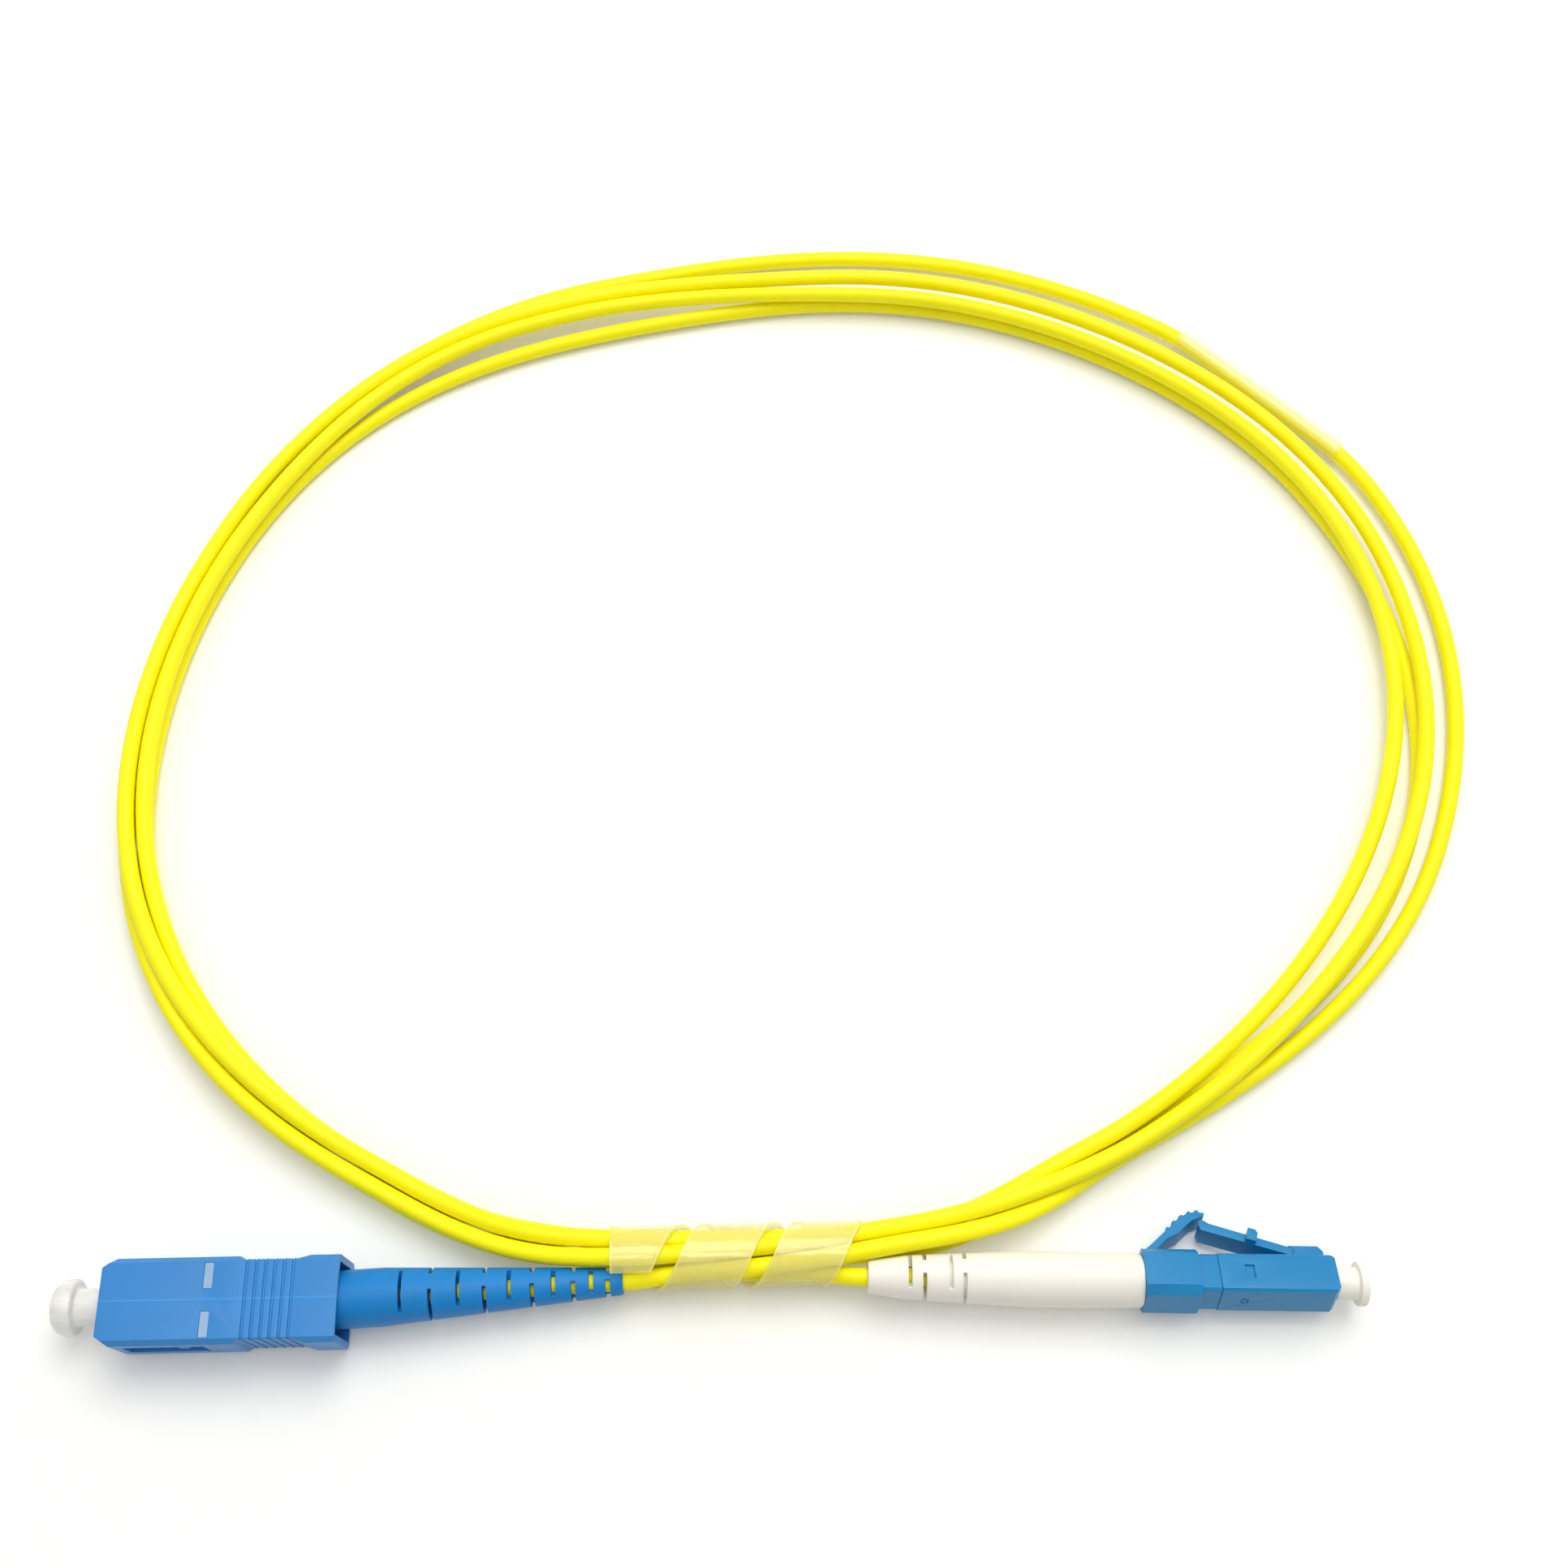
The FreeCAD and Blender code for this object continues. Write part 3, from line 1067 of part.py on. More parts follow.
def assembly():
    """Every piece in its place, by name."""
    pieces = {}
    own, bent = square_plug_pieces()
    for name, shape in own.items():
        pieces[name] = placed(shape, SQ_AT, SQ_YAW)
    pivot, _ = plug_point(SQ_AT, SQ_YAW, 0, V(SQ_BOOT_PIVOT, 0, 0))
    for name, shape in bent.items():
        pieces[name] = placed(shape, pivot, SQ_BOOT_YAW, 0, sq_boot_line()[1])
    for name, shape in small_plug_pieces().items():
        pieces[name] = placed(shape, SM_AT, SM_YAW, SM_ROLL)
    pieces["cord_coil"] = cord_coil()
    pieces["label_sleeve"] = label_sleeve()
    pieces["spiral_wrap"] = spiral_wrap()
    return pieces


def main():
    os.makedirs("parts", exist_ok=True)
    for name, shape in assembly().items():
        solids = shape.Solids
        box = shape.BoundBox
        limits = (box.XMin, box.XMax, box.YMin, box.YMax, box.ZMin, box.ZMax)
        print("%-18s solids %d valid %s volume %9.3f" % (name, len(solids), shape.isValid(), shape.Volume),
              "x %7.2f %7.2f  y %7.2f %7.2f  z %6.3f %6.2f" % limits)
        solids[0].exportStep("parts/" + name + ".step")


if __name__ == "__main__":
    main()
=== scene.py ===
"""Looks of a coiled fiber optic patch cord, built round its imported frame."""

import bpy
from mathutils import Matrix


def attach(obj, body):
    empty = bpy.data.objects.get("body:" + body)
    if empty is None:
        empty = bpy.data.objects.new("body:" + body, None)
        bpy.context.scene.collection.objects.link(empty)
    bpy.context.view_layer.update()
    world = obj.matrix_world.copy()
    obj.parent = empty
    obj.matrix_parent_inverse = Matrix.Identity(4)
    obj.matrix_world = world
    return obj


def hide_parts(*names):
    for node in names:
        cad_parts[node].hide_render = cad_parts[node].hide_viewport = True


bl_info = {
    "name": "Fiber Patch Cord",
    "version": (1, 0, 0),
    "blender": (4, 5, 0),
    "location": "View3D > Sidebar > Patch Cord",
    "description": "Dresses a coiled fiber optic patch cord with its two plugs, tie and sleeve",
    "category": "Object",
}

import math

import bmesh
import bpy
from bpy.props import FloatProperty, FloatVectorProperty, IntProperty, PointerProperty
from mathutils import Matrix, Vector

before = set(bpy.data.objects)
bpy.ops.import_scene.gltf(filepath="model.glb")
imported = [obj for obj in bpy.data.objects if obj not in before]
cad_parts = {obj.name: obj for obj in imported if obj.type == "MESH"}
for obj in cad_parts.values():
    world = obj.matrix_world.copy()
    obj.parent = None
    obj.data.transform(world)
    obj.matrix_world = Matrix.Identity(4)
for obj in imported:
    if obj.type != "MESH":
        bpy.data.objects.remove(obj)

MM = 0.001
ROOT = "cord_and_plugs"
UP = Vector((0, 0, 1))


# Where the plugs lie, in millimetres and degrees

def laid(at, yaw, pitch=0.0, roll=0.0):
    """Matrix that takes a plug's own millimetres to the frame's metres."""
    turn = Matrix.Rotation(math.radians(yaw), 4, "Z")
    turn = turn @ Matrix.Rotation(math.radians(pitch), 4, "Y") @ Matrix.Rotation(math.radians(roll), 4, "X")
    return Matrix.Scale(MM, 4) @ Matrix.Translation(Vector(at)) @ turn


SQ_AT = Vector((-64.25, -2.9, 4.57))
SQ_YAW = 1.2
SQ_BOOT_RUN = 19.0
SQ_PIVOT = SQ_AT + Matrix.Rotation(math.radians(SQ_YAW), 3, "Z") @ Vector((SQ_BOOT_RUN, 0, 0))
SQ_BOOT_YAW = 3.8
SQ_BOOT_REACH = 35.74
SQ_BOOT_DROP = 0.55
SQ_BOOT_PITCH = math.degrees(math.asin(SQ_BOOT_DROP / SQ_BOOT_REACH))
SM_AT = Vector((66.7, -0.4, 4.35))
SM_YAW = -0.8
SM_ROLL = -21.0
SM_TIP = -50.03

SQUARE = laid(SQ_AT, SQ_YAW)
SQUARE_BOOT = laid(SQ_PIVOT, SQ_BOOT_YAW, SQ_BOOT_PITCH)
SMALL = laid(SM_AT, SM_YAW, 0, SM_ROLL)


# The cord's route: four turns of an oval, gathered in the tie. Millimetres and degrees

JACKET = 2.0
PITCH = 2.14
TURNS = 4
CENTRE = Vector((7.0, 69.8, 0))
RADIUS = 71.4
# Waves of the oval: how many to a turn, size, and angle of the crest
WAVES = ((1, 1.5, -127.0), (2, 6.9, 12.6), (3, 0.7, 22.0), (4, 0.4, 16.0), (5, 0.5, -1.0), (6, 0.3, 20.0))
TIE_FROM = 255.0
TIE_TO = 278.0
TIE_BLEND = 24
TIE_LEFT = Vector((-10.9, 2.75, 0))
TIE_RIGHT = Vector((16.1, 3.45, 0))
TIE_ACROSS = TIE_RIGHT - TIE_LEFT
TIE_ASIDE = Vector((TIE_ACROSS.y, -TIE_ACROSS.x, 0)).normalized()
TIE_BOW = 0.6
TIE_PHASE = 181.0
TIE_TWIST = -3.1
TIE_STEP = 72.0
RING_PHASE = 225.0
RING_STEP = 90
UNTIED = 306.0
GATHERED = 238.0
TURN_OVER = (178.0, 236.0)
# Where each turn swings out: how far, then the angles where it leaves, is out, turns back and is home
SWINGS = (
    ((5.9, 301, 347, 112, 163),),
    ((0.9, 300, 330, 140, 165), (1.0, 322, 346, 350, 15), (1.9, 85, 115, 122, 150)),
    ((2.8, 80, 116, 122, 158),),
    ((4.6, 303, 342, 345, 24),),
)
# How far the cord's two ends stand aside at the boots, and the angles between which that fades or grows
FIRST_ASIDE = (0.6, 255, 263)
LAST_ASIDE = (1.0, 271, 279)
SLEEVE_FROM = 25.9
SLEEVE_TO = 45.3
SLEEVE_RAMP = 40.0
SLEEVE_LIFT = 0.6
SLEEVE_MARGIN = 0.02
TABLE_GAP = 0.03
LIFT = 0.25
LOW_PLACE = (122.0, 152.0, 158.0, 190.0)
WRAP_BORE = 3.44
WRAP_WALL = 0.42
WRAP_LIP = 0.06
WRAP_SAG = 0.22
WRAP_TOP = 1.45
WRAP_ANGLES = (-35.0, 845.0)
TIE_HEIGHT = WRAP_BORE + WRAP_WALL
ROUTE_FROM = 261.5
ROUTE_TO = 360 * (TURNS - 1) + 633.0
NEW_TURN = 270
LOOK_AHEAD = 0.1
STRAIGHT_RUNS = (0, 0.7, 1.6)


def ease(value, start, end):
    """Smooth step from 0 at start to 1 at end."""
    part = min(1.0, max(0.0, (value - start) / (end - start)))
    return part * part * (3 - 2 * part)


def middle_point(angle):
    """Point of the coil's middle line on the table."""
    a = math.radians(angle)
    wave = sum(size * math.cos(math.radians(times * (angle - crest))) for times, size, crest in WAVES)
    free = CENTRE + Vector((math.cos(a), math.sin(a), 0)) * (RADIUS + wave)
    angle = angle % 360
    share = (angle - TIE_FROM) / (TIE_TO - TIE_FROM)
    tied = TIE_LEFT + TIE_ACROSS * share + TIE_ASIDE * (4 * share * (1 - share) * TIE_BOW)
    blend = ease(angle, TIE_FROM - TIE_BLEND, TIE_FROM) * (1 - ease(angle, TIE_TO, TIE_TO + TIE_BLEND))
    return free.lerp(tied, blend)


def swing(angle, size, *limits):
    """How far a turn swings out at an angle."""
    angle = (angle - TIE_FROM) % 360
    leave, out, back, home = ((a - TIE_FROM) % 360 for a in limits)
    return size * ease(angle, leave, out) * (1 - ease(angle, back, home))


def phase(turn, angle):
    """Where a turn stands in the ring, 0 inward and 90 up."""
    loose = RING_PHASE - RING_STEP * (turn + ease(angle - 360, *TURN_OVER))
    if angle < 360:
        tied = TIE_PHASE - TIE_STEP * turn + TIE_TWIST * (angle - TIE_FROM)
        return tied + (loose - tied) * ease(angle, TIE_TO, UNTIED)
    tied = TIE_PHASE - TIE_STEP * (turn + 1) + TIE_TWIST * (angle - 360 - TIE_FROM)
    return loose + (tied - loose) * ease(angle - 360, GATHERED, TIE_FROM)


def cord_point(turn, angle):
    """Point of the cord's middle line; the angle counts from the turn's own tie."""
    step = (phase(0, angle) - phase(TURNS - 1, angle)) / (TURNS - 1)
    ring = PITCH / 2 / math.sin(math.radians(step / 2))
    stand = math.radians(phase(turn, angle))
    lowest = min(math.sin(math.radians(phase(t, angle))) for t in range(TURNS))
    lying = JACKET / 2 + TABLE_GAP + LIFT - swing(angle, LIFT, *LOW_PLACE) - ring * lowest
    tied = 1 - ease(angle, TIE_TO, UNTIED) if angle < 360 else ease(angle - 360, GATHERED, TIE_FROM)
    height = lying + (TIE_HEIGHT - lying) * tied + ring * math.sin(stand)
    if turn == 0:
        height += swing(angle, SLEEVE_LIFT - LIFT, SLEEVE_FROM - SLEEVE_RAMP, SLEEVE_FROM,
                        SLEEVE_TO, SLEEVE_TO + SLEEVE_RAMP)
    out = sum(swing(angle, *swung) for swung in SWINGS[turn]) - ring * math.cos(stand)
    if turn == 0 and angle < 360:
        out += FIRST_ASIDE[0] * (1 - ease(angle, *FIRST_ASIDE[1:]))
    if turn == TURNS - 1 and angle > 360:
        out += LAST_ASIDE[0] * ease(angle - 360, *LAST_ASIDE[1:])
    here = middle_point(angle)
    way = (middle_point(angle + LOOK_AHEAD) - here).normalized()
    return here + Vector((way.y, -way.x, 0)) * out + UP * height


def cord_ends():
    """Start and way at the blue boot, end and way at the white boot."""
    first_way = (SQUARE_BOOT.to_3x3() @ Vector((1, 0, 0))).normalized()
    last_way = (SMALL.to_3x3() @ Vector((1, 0, 0))).normalized()
    return SQ_PIVOT + first_way * SQ_BOOT_REACH, first_way, SMALL @ Vector((SM_TIP, 0, 0)) / MM, last_way


def sleeve_line():
    """Ends of the straight stretch that the label sleeve sits on."""
    return cord_point(0, SLEEVE_FROM + 360), cord_point(0, SLEEVE_TO + 360)


def cord_route(step):
    """Every point of the cord's route, by one formula from boot to boot."""
    first, first_way, last, last_way = cord_ends()
    straight = sleeve_line()
    points = [first + first_way * run for run in STRAIGHT_RUNS]
    count = round((ROUTE_TO - ROUTE_FROM) / step)
    for i in range(count + 1):
        whole = ROUTE_FROM + (ROUTE_TO - ROUTE_FROM) * i / count
        turn = min(TURNS - 1, max(0, int((whole - NEW_TURN) // 360)))
        angle = whole - 360 * turn
        share = (angle - 360 - SLEEVE_FROM) / (SLEEVE_TO - SLEEVE_FROM)
        if turn == 0 and -SLEEVE_MARGIN < share < 1 + SLEEVE_MARGIN:
            points.append(straight[0].lerp(straight[1], share))
        else:
            points.append(cord_point(turn, angle))
    return points + [last - last_way * run for run in reversed(STRAIGHT_RUNS)]


# Meshes. A node's loose triangles are welded, in metres, and made flat faces again, in degrees

WELD = 2e-6
FLAT = 0.6


def linked(name, data):
    """New object in the scene."""
    obj = bpy.data.objects.new(name, data)
    bpy.context.scene.collection.objects.link(obj)
    return obj


def new_object(name, data, body, material, replaces=()):
    """Puts a finished mesh or curve in the scene, on its body."""
    obj = linked(name, data)
    data.materials.clear()
    data.materials.append(material)
    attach(obj, body)
    if replaces:
        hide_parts(*replaces)
    return obj


def plain_mesh(helper, name):
    """The evaluated mesh of a helper object, which is then removed."""
    graph = bpy.context.evaluated_depsgraph_get()
    mesh = bpy.data.meshes.new_from_object(helper.evaluated_get(graph))
    mesh.name = name
    bpy.data.objects.remove(helper)
    return mesh


def mesh_from(bm, name):
    """Mesh from a finished bmesh, which is then freed."""
    mesh = bpy.data.meshes.new(name)
    bm.to_mesh(mesh)
    bm.free()
    return mesh


def placed_mesh(bm, name, where):
    """Mesh from a bmesh, at its place and with its faces pointing outwards."""
    bmesh.ops.transform(bm, matrix=where, verts=bm.verts)
    bmesh.ops.recalc_face_normals(bm, faces=bm.faces)
    return mesh_from(bm, name)


def smoothed(mesh, angle):
    """Smooth shading with edges sharper than the angle left sharp."""
    mesh.shade_smooth()
    mesh.set_sharp_from_angle(angle=math.radians(angle))
    return mesh


def bevelled(mesh, name, width, angle=28.0, segments=3):
    """Rounds a mesh's sharp edges; the width is in the mesh's own unit."""
    helper = linked(name + "_draft", mesh)
    bevel = helper.modifiers.new("Edges", "BEVEL")
    bevel.width = width
    bevel.segments = segments
    bevel.profile = 0.6
    bevel.limit_method = "ANGLE"
    bevel.angle_limit = math.radians(angle)
    bevel.miter_outer = "MITER_ARC"
    bevel.use_clamp_overlap = True
    bevel.harden_normals = True
    mesh.shade_smooth()
    return plain_mesh(helper, name)


def from_node(node, name, width):
    """A clean copy of a rigid solid with its edges rounded."""
    bm = bmesh.new()
    bm.from_mesh(bpy.data.objects[node].data)
    bmesh.ops.remove_doubles(bm, verts=bm.verts, dist=WELD)
    bmesh.ops.dissolve_limit(bm, angle_limit=math.radians(FLAT), verts=bm.verts, edges=bm.edges,
                             use_dissolve_boundaries=False)
    bmesh.ops.recalc_face_normals(bm, faces=bm.faces)
    return bevelled(mesh_from(bm, name), name, width * MM)


def ring_of(bm, x, radius, sides):
    """Ring of vertices about the X axis, or one vertex on it."""
    if radius < 1e-6:
        return [bm.verts.new((x, 0, 0))]
    return [bm.verts.new((x, radius * math.cos(2 * math.pi * i / sides),
                          radius * math.sin(2 * math.pi * i / sides))) for i in range(sides)]


def join_rings(bm, rings, closed):
    """Faces from each ring to the next. A closed row meets itself, and an open one has its ends filled."""
    sides = max(len(ring) for ring in rings)
    for low, high in zip(rings, rings[1:] + rings[:1] if closed else rings[1:]):
        for i in range(sides):
            j = (i + 1) % sides
            corners = [low[i % len(low)], low[j % len(low)], high[j % len(high)], high[i % len(high)]]
            bm.faces.new([v for k, v in enumerate(corners) if v not in corners[:k]])
    for end in () if closed else (rings[0], rings[-1]):
        if len(end) > 1:
            bm.faces.new(end)


def lathe(name, outline, sides, where, closed=False):
    """Turned mesh from (x, radius) corners about the X axis."""
    bm = bmesh.new()
    join_rings(bm, [ring_of(bm, x, radius, sides) for x, radius in outline], closed)
    return placed_mesh(bm, name, where)


def rod(name, where, ends, radius, sides, steps):
    """Straight round rod on a plug's own axis."""
    start, end = ends
    outline = [(start + (end - start) * i / steps, radius) for i in range(steps + 1)]
    return smoothed(lathe(name, outline, sides, where), 50)


def rounded(corners, radius, steps=4):
    """Outline with each inner corner rounded off."""
    out = [corners[0]]
    for before, here, after in zip(corners, corners[1:], corners[2:]):
        here, before, after = Vector(here), Vector(before), Vector(after)
        reach = min(radius, (before - here).length * 0.48, (after - here).length * 0.48)
        a = here + (before - here).normalized() * reach
        b = here + (after - here).normalized() * reach
        for i in range(steps + 1):
            t = i / steps
            out.append(tuple(a.lerp(here, t).lerp(here.lerp(b, t), t)))
    return out + [corners[-1]]


def slot_pair(x, width, middle, half):
    """Slot cut from two opposite sides: its place and width, and its two arcs in degrees."""
    return x, width, [(middle + turn - half, middle + turn + half) for turn in (0, 180)]


def slotted_boot(name, radius_at, bore_at, stations, slots, where, sides=144):
    """Strain relief: a turned wall with slots through it."""
    lines = sorted(set([round(x, 4) for x in stations]
                       + [round(x + s * w / 2, 4) for x, w, _ in slots for s in (-1, 1)]))

    def removed(i, k):
        if not 0 <= i < len(lines) - 1:
            return True
        x = (lines[i] + lines[i + 1]) / 2
        angle = 360 * (k % sides + 0.5) / sides
        for at, width, arcs in slots:
            if abs(x - at) < width / 2 and any((angle - a) % 360 < b - a for a, b in arcs):
                return True
        return False

    bm = bmesh.new()
    outer = [ring_of(bm, x, radius_at(x), sides) for x in lines]
    inner = [ring_of(bm, x, bore_at(x), sides) for x in lines]
    for i in range(len(lines) - 1):
        for k in range(sides):
            j = (k + 1) % sides
            if removed(i, k):
                continue
            bm.faces.new((outer[i][k], outer[i + 1][k], outer[i + 1][j], outer[i][j]))
            bm.faces.new((inner[i][k], inner[i][j], inner[i + 1][j], inner[i + 1][k]))
            if removed(i, k + 1):
                bm.faces.new((outer[i][j], outer[i + 1][j], inner[i + 1][j], inner[i][j]))
            if removed(i, k - 1):
                bm.faces.new((outer[i][k], inner[i][k], inner[i + 1][k], outer[i + 1][k]))
            if removed(i + 1, k):
                bm.faces.new((outer[i + 1][k], inner[i + 1][k], inner[i + 1][j], outer[i + 1][j]))
            if removed(i - 1, k):
                bm.faces.new((outer[i][k], outer[i][j], inner[i][j], inner[i][k]))
    bmesh.ops.delete(bm, geom=[v for v in bm.verts if not v.link_faces], context="VERTS")
    return placed_mesh(bm, name, where)


# Node trees

NODE_COLUMNS = 12
NODE_SPACE = (190, -260)
NOISE_SPAN = (0.3, 0.7)


class Tree:
    """Short calls that add and join the nodes of one tree."""

    def __init__(self, tree):
        self.tree = tree

    def add(self, kind, sockets=None, **settings):
        """New node with its settings made and its sockets fed."""
        count = len(self.tree.nodes)
        node = self.tree.nodes.new(kind)
        node.location = (count % NODE_COLUMNS * NODE_SPACE[0], count // NODE_COLUMNS * NODE_SPACE[1])
        for key, value in settings.items():
            setattr(node, key, value)
        for key, value in (sockets or {}).items():
            self.feed(node.inputs[key], value)
        return node

    def out(self, kind, sockets=None, **settings):
        """First output of a new node."""
        return self.add(kind, sockets, **settings).outputs[0]

    def feed(self, socket, value):
        """Joins an output to a socket, or writes a plain value into it."""
        if isinstance(value, bpy.types.NodeSocket):
            self.tree.links.new(value, socket)
        else:
            socket.default_value = value

    def math(self, operation, first, second=0.0, clamp=False):
        """One math node."""
        return self.out("ShaderNodeMath", {0: first, 1: second}, operation=operation, use_clamp=clamp)

    def spread(self, value, low, high, span=NOISE_SPAN, **settings):
        """Value spread from a span, most often a noise's, to a range."""
        return self.out("ShaderNodeMapRange", dict(enumerate((value, *span, low, high))), **settings)

    def seen(self):
        """1 where the camera, a mirror or glass looks, else 0."""
        path = self.add("ShaderNodeLightPath").outputs
        direct = self.math("MAXIMUM", path["Is Camera Ray"], path["Is Glossy Ray"])
        return self.math("MAXIMUM", direct, path["Is Transmission Ray"])


class Shader(Tree):
    """Material with one principled surface."""

    def __init__(self, name):
        self.material = bpy.data.materials.new(name)
        self.material.use_nodes = True
        super().__init__(self.material.node_tree)
        self.surface = self.tree.nodes["Principled BSDF"]
        self.place = self.add("ShaderNodeTexCoord").outputs["Object"]

    def set(self, **values):
        """Feeds the principled surface; an underscore stands for a space."""
        for name, value in values.items():
            self.feed(self.surface.inputs[name.replace("_", " ")], value)

    def cover(self, share, over):
        """Lays a share of another shader over the principled surface."""
        both = self.out("ShaderNodeMixShader", {0: share, 1: self.surface.outputs[0], 2: over})
        self.feed(self.tree.nodes["Material Output"].inputs["Surface"], both)

    def noise(self, per_mm, detail, roughness=0.55, stretch=None):
        """Noise in the frame's own space, so many grains to a millimetre."""
        vector = self.place
        if stretch:
            vector = self.out("ShaderNodeMapping", {"Vector": vector, "Scale": stretch})
        return self.out("ShaderNodeTexNoise", {
            "Vector": vector, "Scale": per_mm / MM, "Detail": detail, "Roughness": roughness})

    def ramp(self, value, low, high, start=0.35, end=0.65):
        """Colour between two, by a value."""
        node = self.add("ShaderNodeValToRGB", {0: value})
        for stop, place, colour in zip(node.color_ramp.elements, (start, end), (low, high)):
            stop.position = place
            stop.color = (*colour, 1)
        return node.outputs[0]

    def mix(self, share, low, colour):
        """Mixes a plain colour into another."""
        return self.add("ShaderNodeMix", {0: share, 6: low, 7: (*colour, 1)}, data_type="RGBA").outputs[2]

    def seam(self, at, yaw, half):
        """1 on an upright plane through a point, in millimetres, and 0 beyond half its width: the line of a
        parting seam and of the painted sheen on it.
        """
        side = (-math.sin(math.radians(yaw)), math.cos(math.radians(yaw)), 0)
        dot = self.add("ShaderNodeVectorMath", {0: self.place, 1: side}, operation="DOT_PRODUCT")
        away = self.math("SUBTRACT", dot.outputs["Value"], Vector(side).dot(at) * MM)
        return self.math("SUBTRACT", 1.0, self.math("DIVIDE", self.math("ABSOLUTE", away), half * MM), True)

    def bump(self, height, depth, strength=1.0, after=None):
        """Bump of so many millimetres, on top of another one if that is given."""
        sockets = {"Height": height, "Distance": depth * MM, "Strength": strength}
        if after is not None:
            sockets["Normal"] = after
        return self.out("ShaderNodeBump", sockets)


def linear(colour):
    """Screen colour, 0 to 255, as linear light."""
    return tuple((c / 255 / 12.92) if c <= 10.3 else ((c / 255 + 0.055) / 1.055) ** 2.4 for c in colour)


def scaled(colour, by):
    """Colour made lighter or darker."""
    return tuple(min(1.0, c * by) for c in colour)


def moulded_plastic(name, colour, rough, grain, spread=0.05, gloss=0.5, inside=0.0, seam=None):
    """Injection moulded plastic: slight tone clouds, fine mould grain, faint flow lines, rubbed spots and,
    where asked, a parting seam with a painted sheen line on it.
    """
    s = Shader(name)
    cloud = s.noise(0.12, 3.0)
    tone = s.ramp(cloud, scaled(colour, 1 - spread), scaled(colour, 1 + spread), *NOISE_SPAN)
    flow = s.noise(1.1, 2.0, stretch=(0.12, 1.0, 1.0))
    paint = s.mix(s.spread(flow, 0.0, 0.25), tone, scaled(colour, 1 + 1.6 * spread))
    paint = s.mix(s.spread(s.noise(5.0, 2.0), 0.0, 0.5), paint, scaled(colour, 1 - 1.8 * spread))
    rub = s.spread(s.noise(2.6, 5.0, 0.65), rough - 0.07, rough + 0.1)
    fine = s.bump(s.noise(14.0, 2.0), grain)
    waves = s.bump(s.noise(0.5, 2.0), 0.02, 0.6, fine)
    if seam:
        line = s.seam(*seam)
        # Painted highlight: the seam's line is painted lighter and stands for the sheen along the grip's
        # centre. Its bump is the parting seam itself.
        paint = s.mix(s.math("MULTIPLY", line, 0.3), paint, scaled(colour, 1.7))
        waves = s.bump(line, 0.03, 0.8, waves)
    s.set(Base_Color=paint, Roughness=rub, Normal=waves, IOR=1.5, Specular_IOR_Level=gloss)
    if inside:
        s.set(Subsurface_Weight=inside, Subsurface_Scale=1.2 * MM, Subsurface_Radius=(1.0, 0.9, 0.75))
    return s.material


def jacket_plastic(name, colour):
    """Soft extruded jacket: even colour with slight clouds, a waxy sheen and a few dull spots."""
    s = Shader(name)
    tone = s.ramp(s.noise(0.05, 3.0), scaled(colour, 0.95), colour, 0.3, 0.65)
    speck = s.spread(s.noise(3.2, 4.0, 0.6), 0.0, 0.14)
    skin = s.bump(s.noise(5.0, 3.0), 0.012)
    lumps = s.bump(s.noise(0.35, 2.0), 0.05, 0.6, skin)
    s.set(Base_Color=s.mix(speck, tone, scaled(colour, 1.12)), Normal=lumps,
          Roughness=s.spread(s.noise(0.9, 4.0), 0.36, 0.52), IOR=1.5, Specular_IOR_Level=0.25,
          Subsurface_Weight=0.25, Subsurface_Scale=0.8 * MM, Subsurface_Radius=(1.0, 0.9, 0.1))
    return s.material


def clear_plastic(name, colour, cover, rough, shine, rim=0.0, inside=0.0):
    """Clear or milky film: light goes through, and cloudy streaks and cut rims hold some of it back."""
    s = Shader(name)
    streak = s.noise(0.5, 3.0, stretch=(0.3, 1.0, 1.0))
    ripple = s.bump(s.noise(0.6, 2.0), 0.06, 0.7)
    held = s.spread(streak, cover * 0.75, cover * 1.25)
    if rim:
        edge = s.add("ShaderNodeAttribute", attribute_name="edge").outputs["Fac"]
        held = s.math("ADD", held, s.math("MULTIPLY", edge, rim), True)
    s.set(Base_Color=s.ramp(streak, scaled(colour, 0.96), colour, *NOISE_SPAN), Normal=ripple, Alpha=held,
          Roughness=s.spread(s.noise(0.8, 3.0), rough - 0.04, rough + 0.08), IOR=1.46,
          Subsurface_Weight=inside, Subsurface_Scale=0.8 * MM)
    s.cover(shine, s.out("ShaderNodeBsdfGlossy", {"Roughness": rough, "Normal": ripple}))
    return s.material


def metal(name, colour, rough, brushed=(1.0, 1.0, 1.0)):
    """Plated or drawn metal with fine machining marks."""
    s = Shader(name)
    marks = s.noise(6.0, 3.0, stretch=brushed)
    s.set(Base_Color=s.ramp(s.noise(0.8, 3.0), scaled(colour, 0.88), colour), Normal=s.bump(marks, 0.006),
          Roughness=s.spread(marks, rough - 0.06, rough + 0.1), Metallic=1.0)
    return s.material


# Geometry node trees

SOCKET_KINDS = {int: "NodeSocketInt", float: "NodeSocketFloat", Vector: "NodeSocketVector",
                bpy.types.Material: "NodeSocketMaterial"}


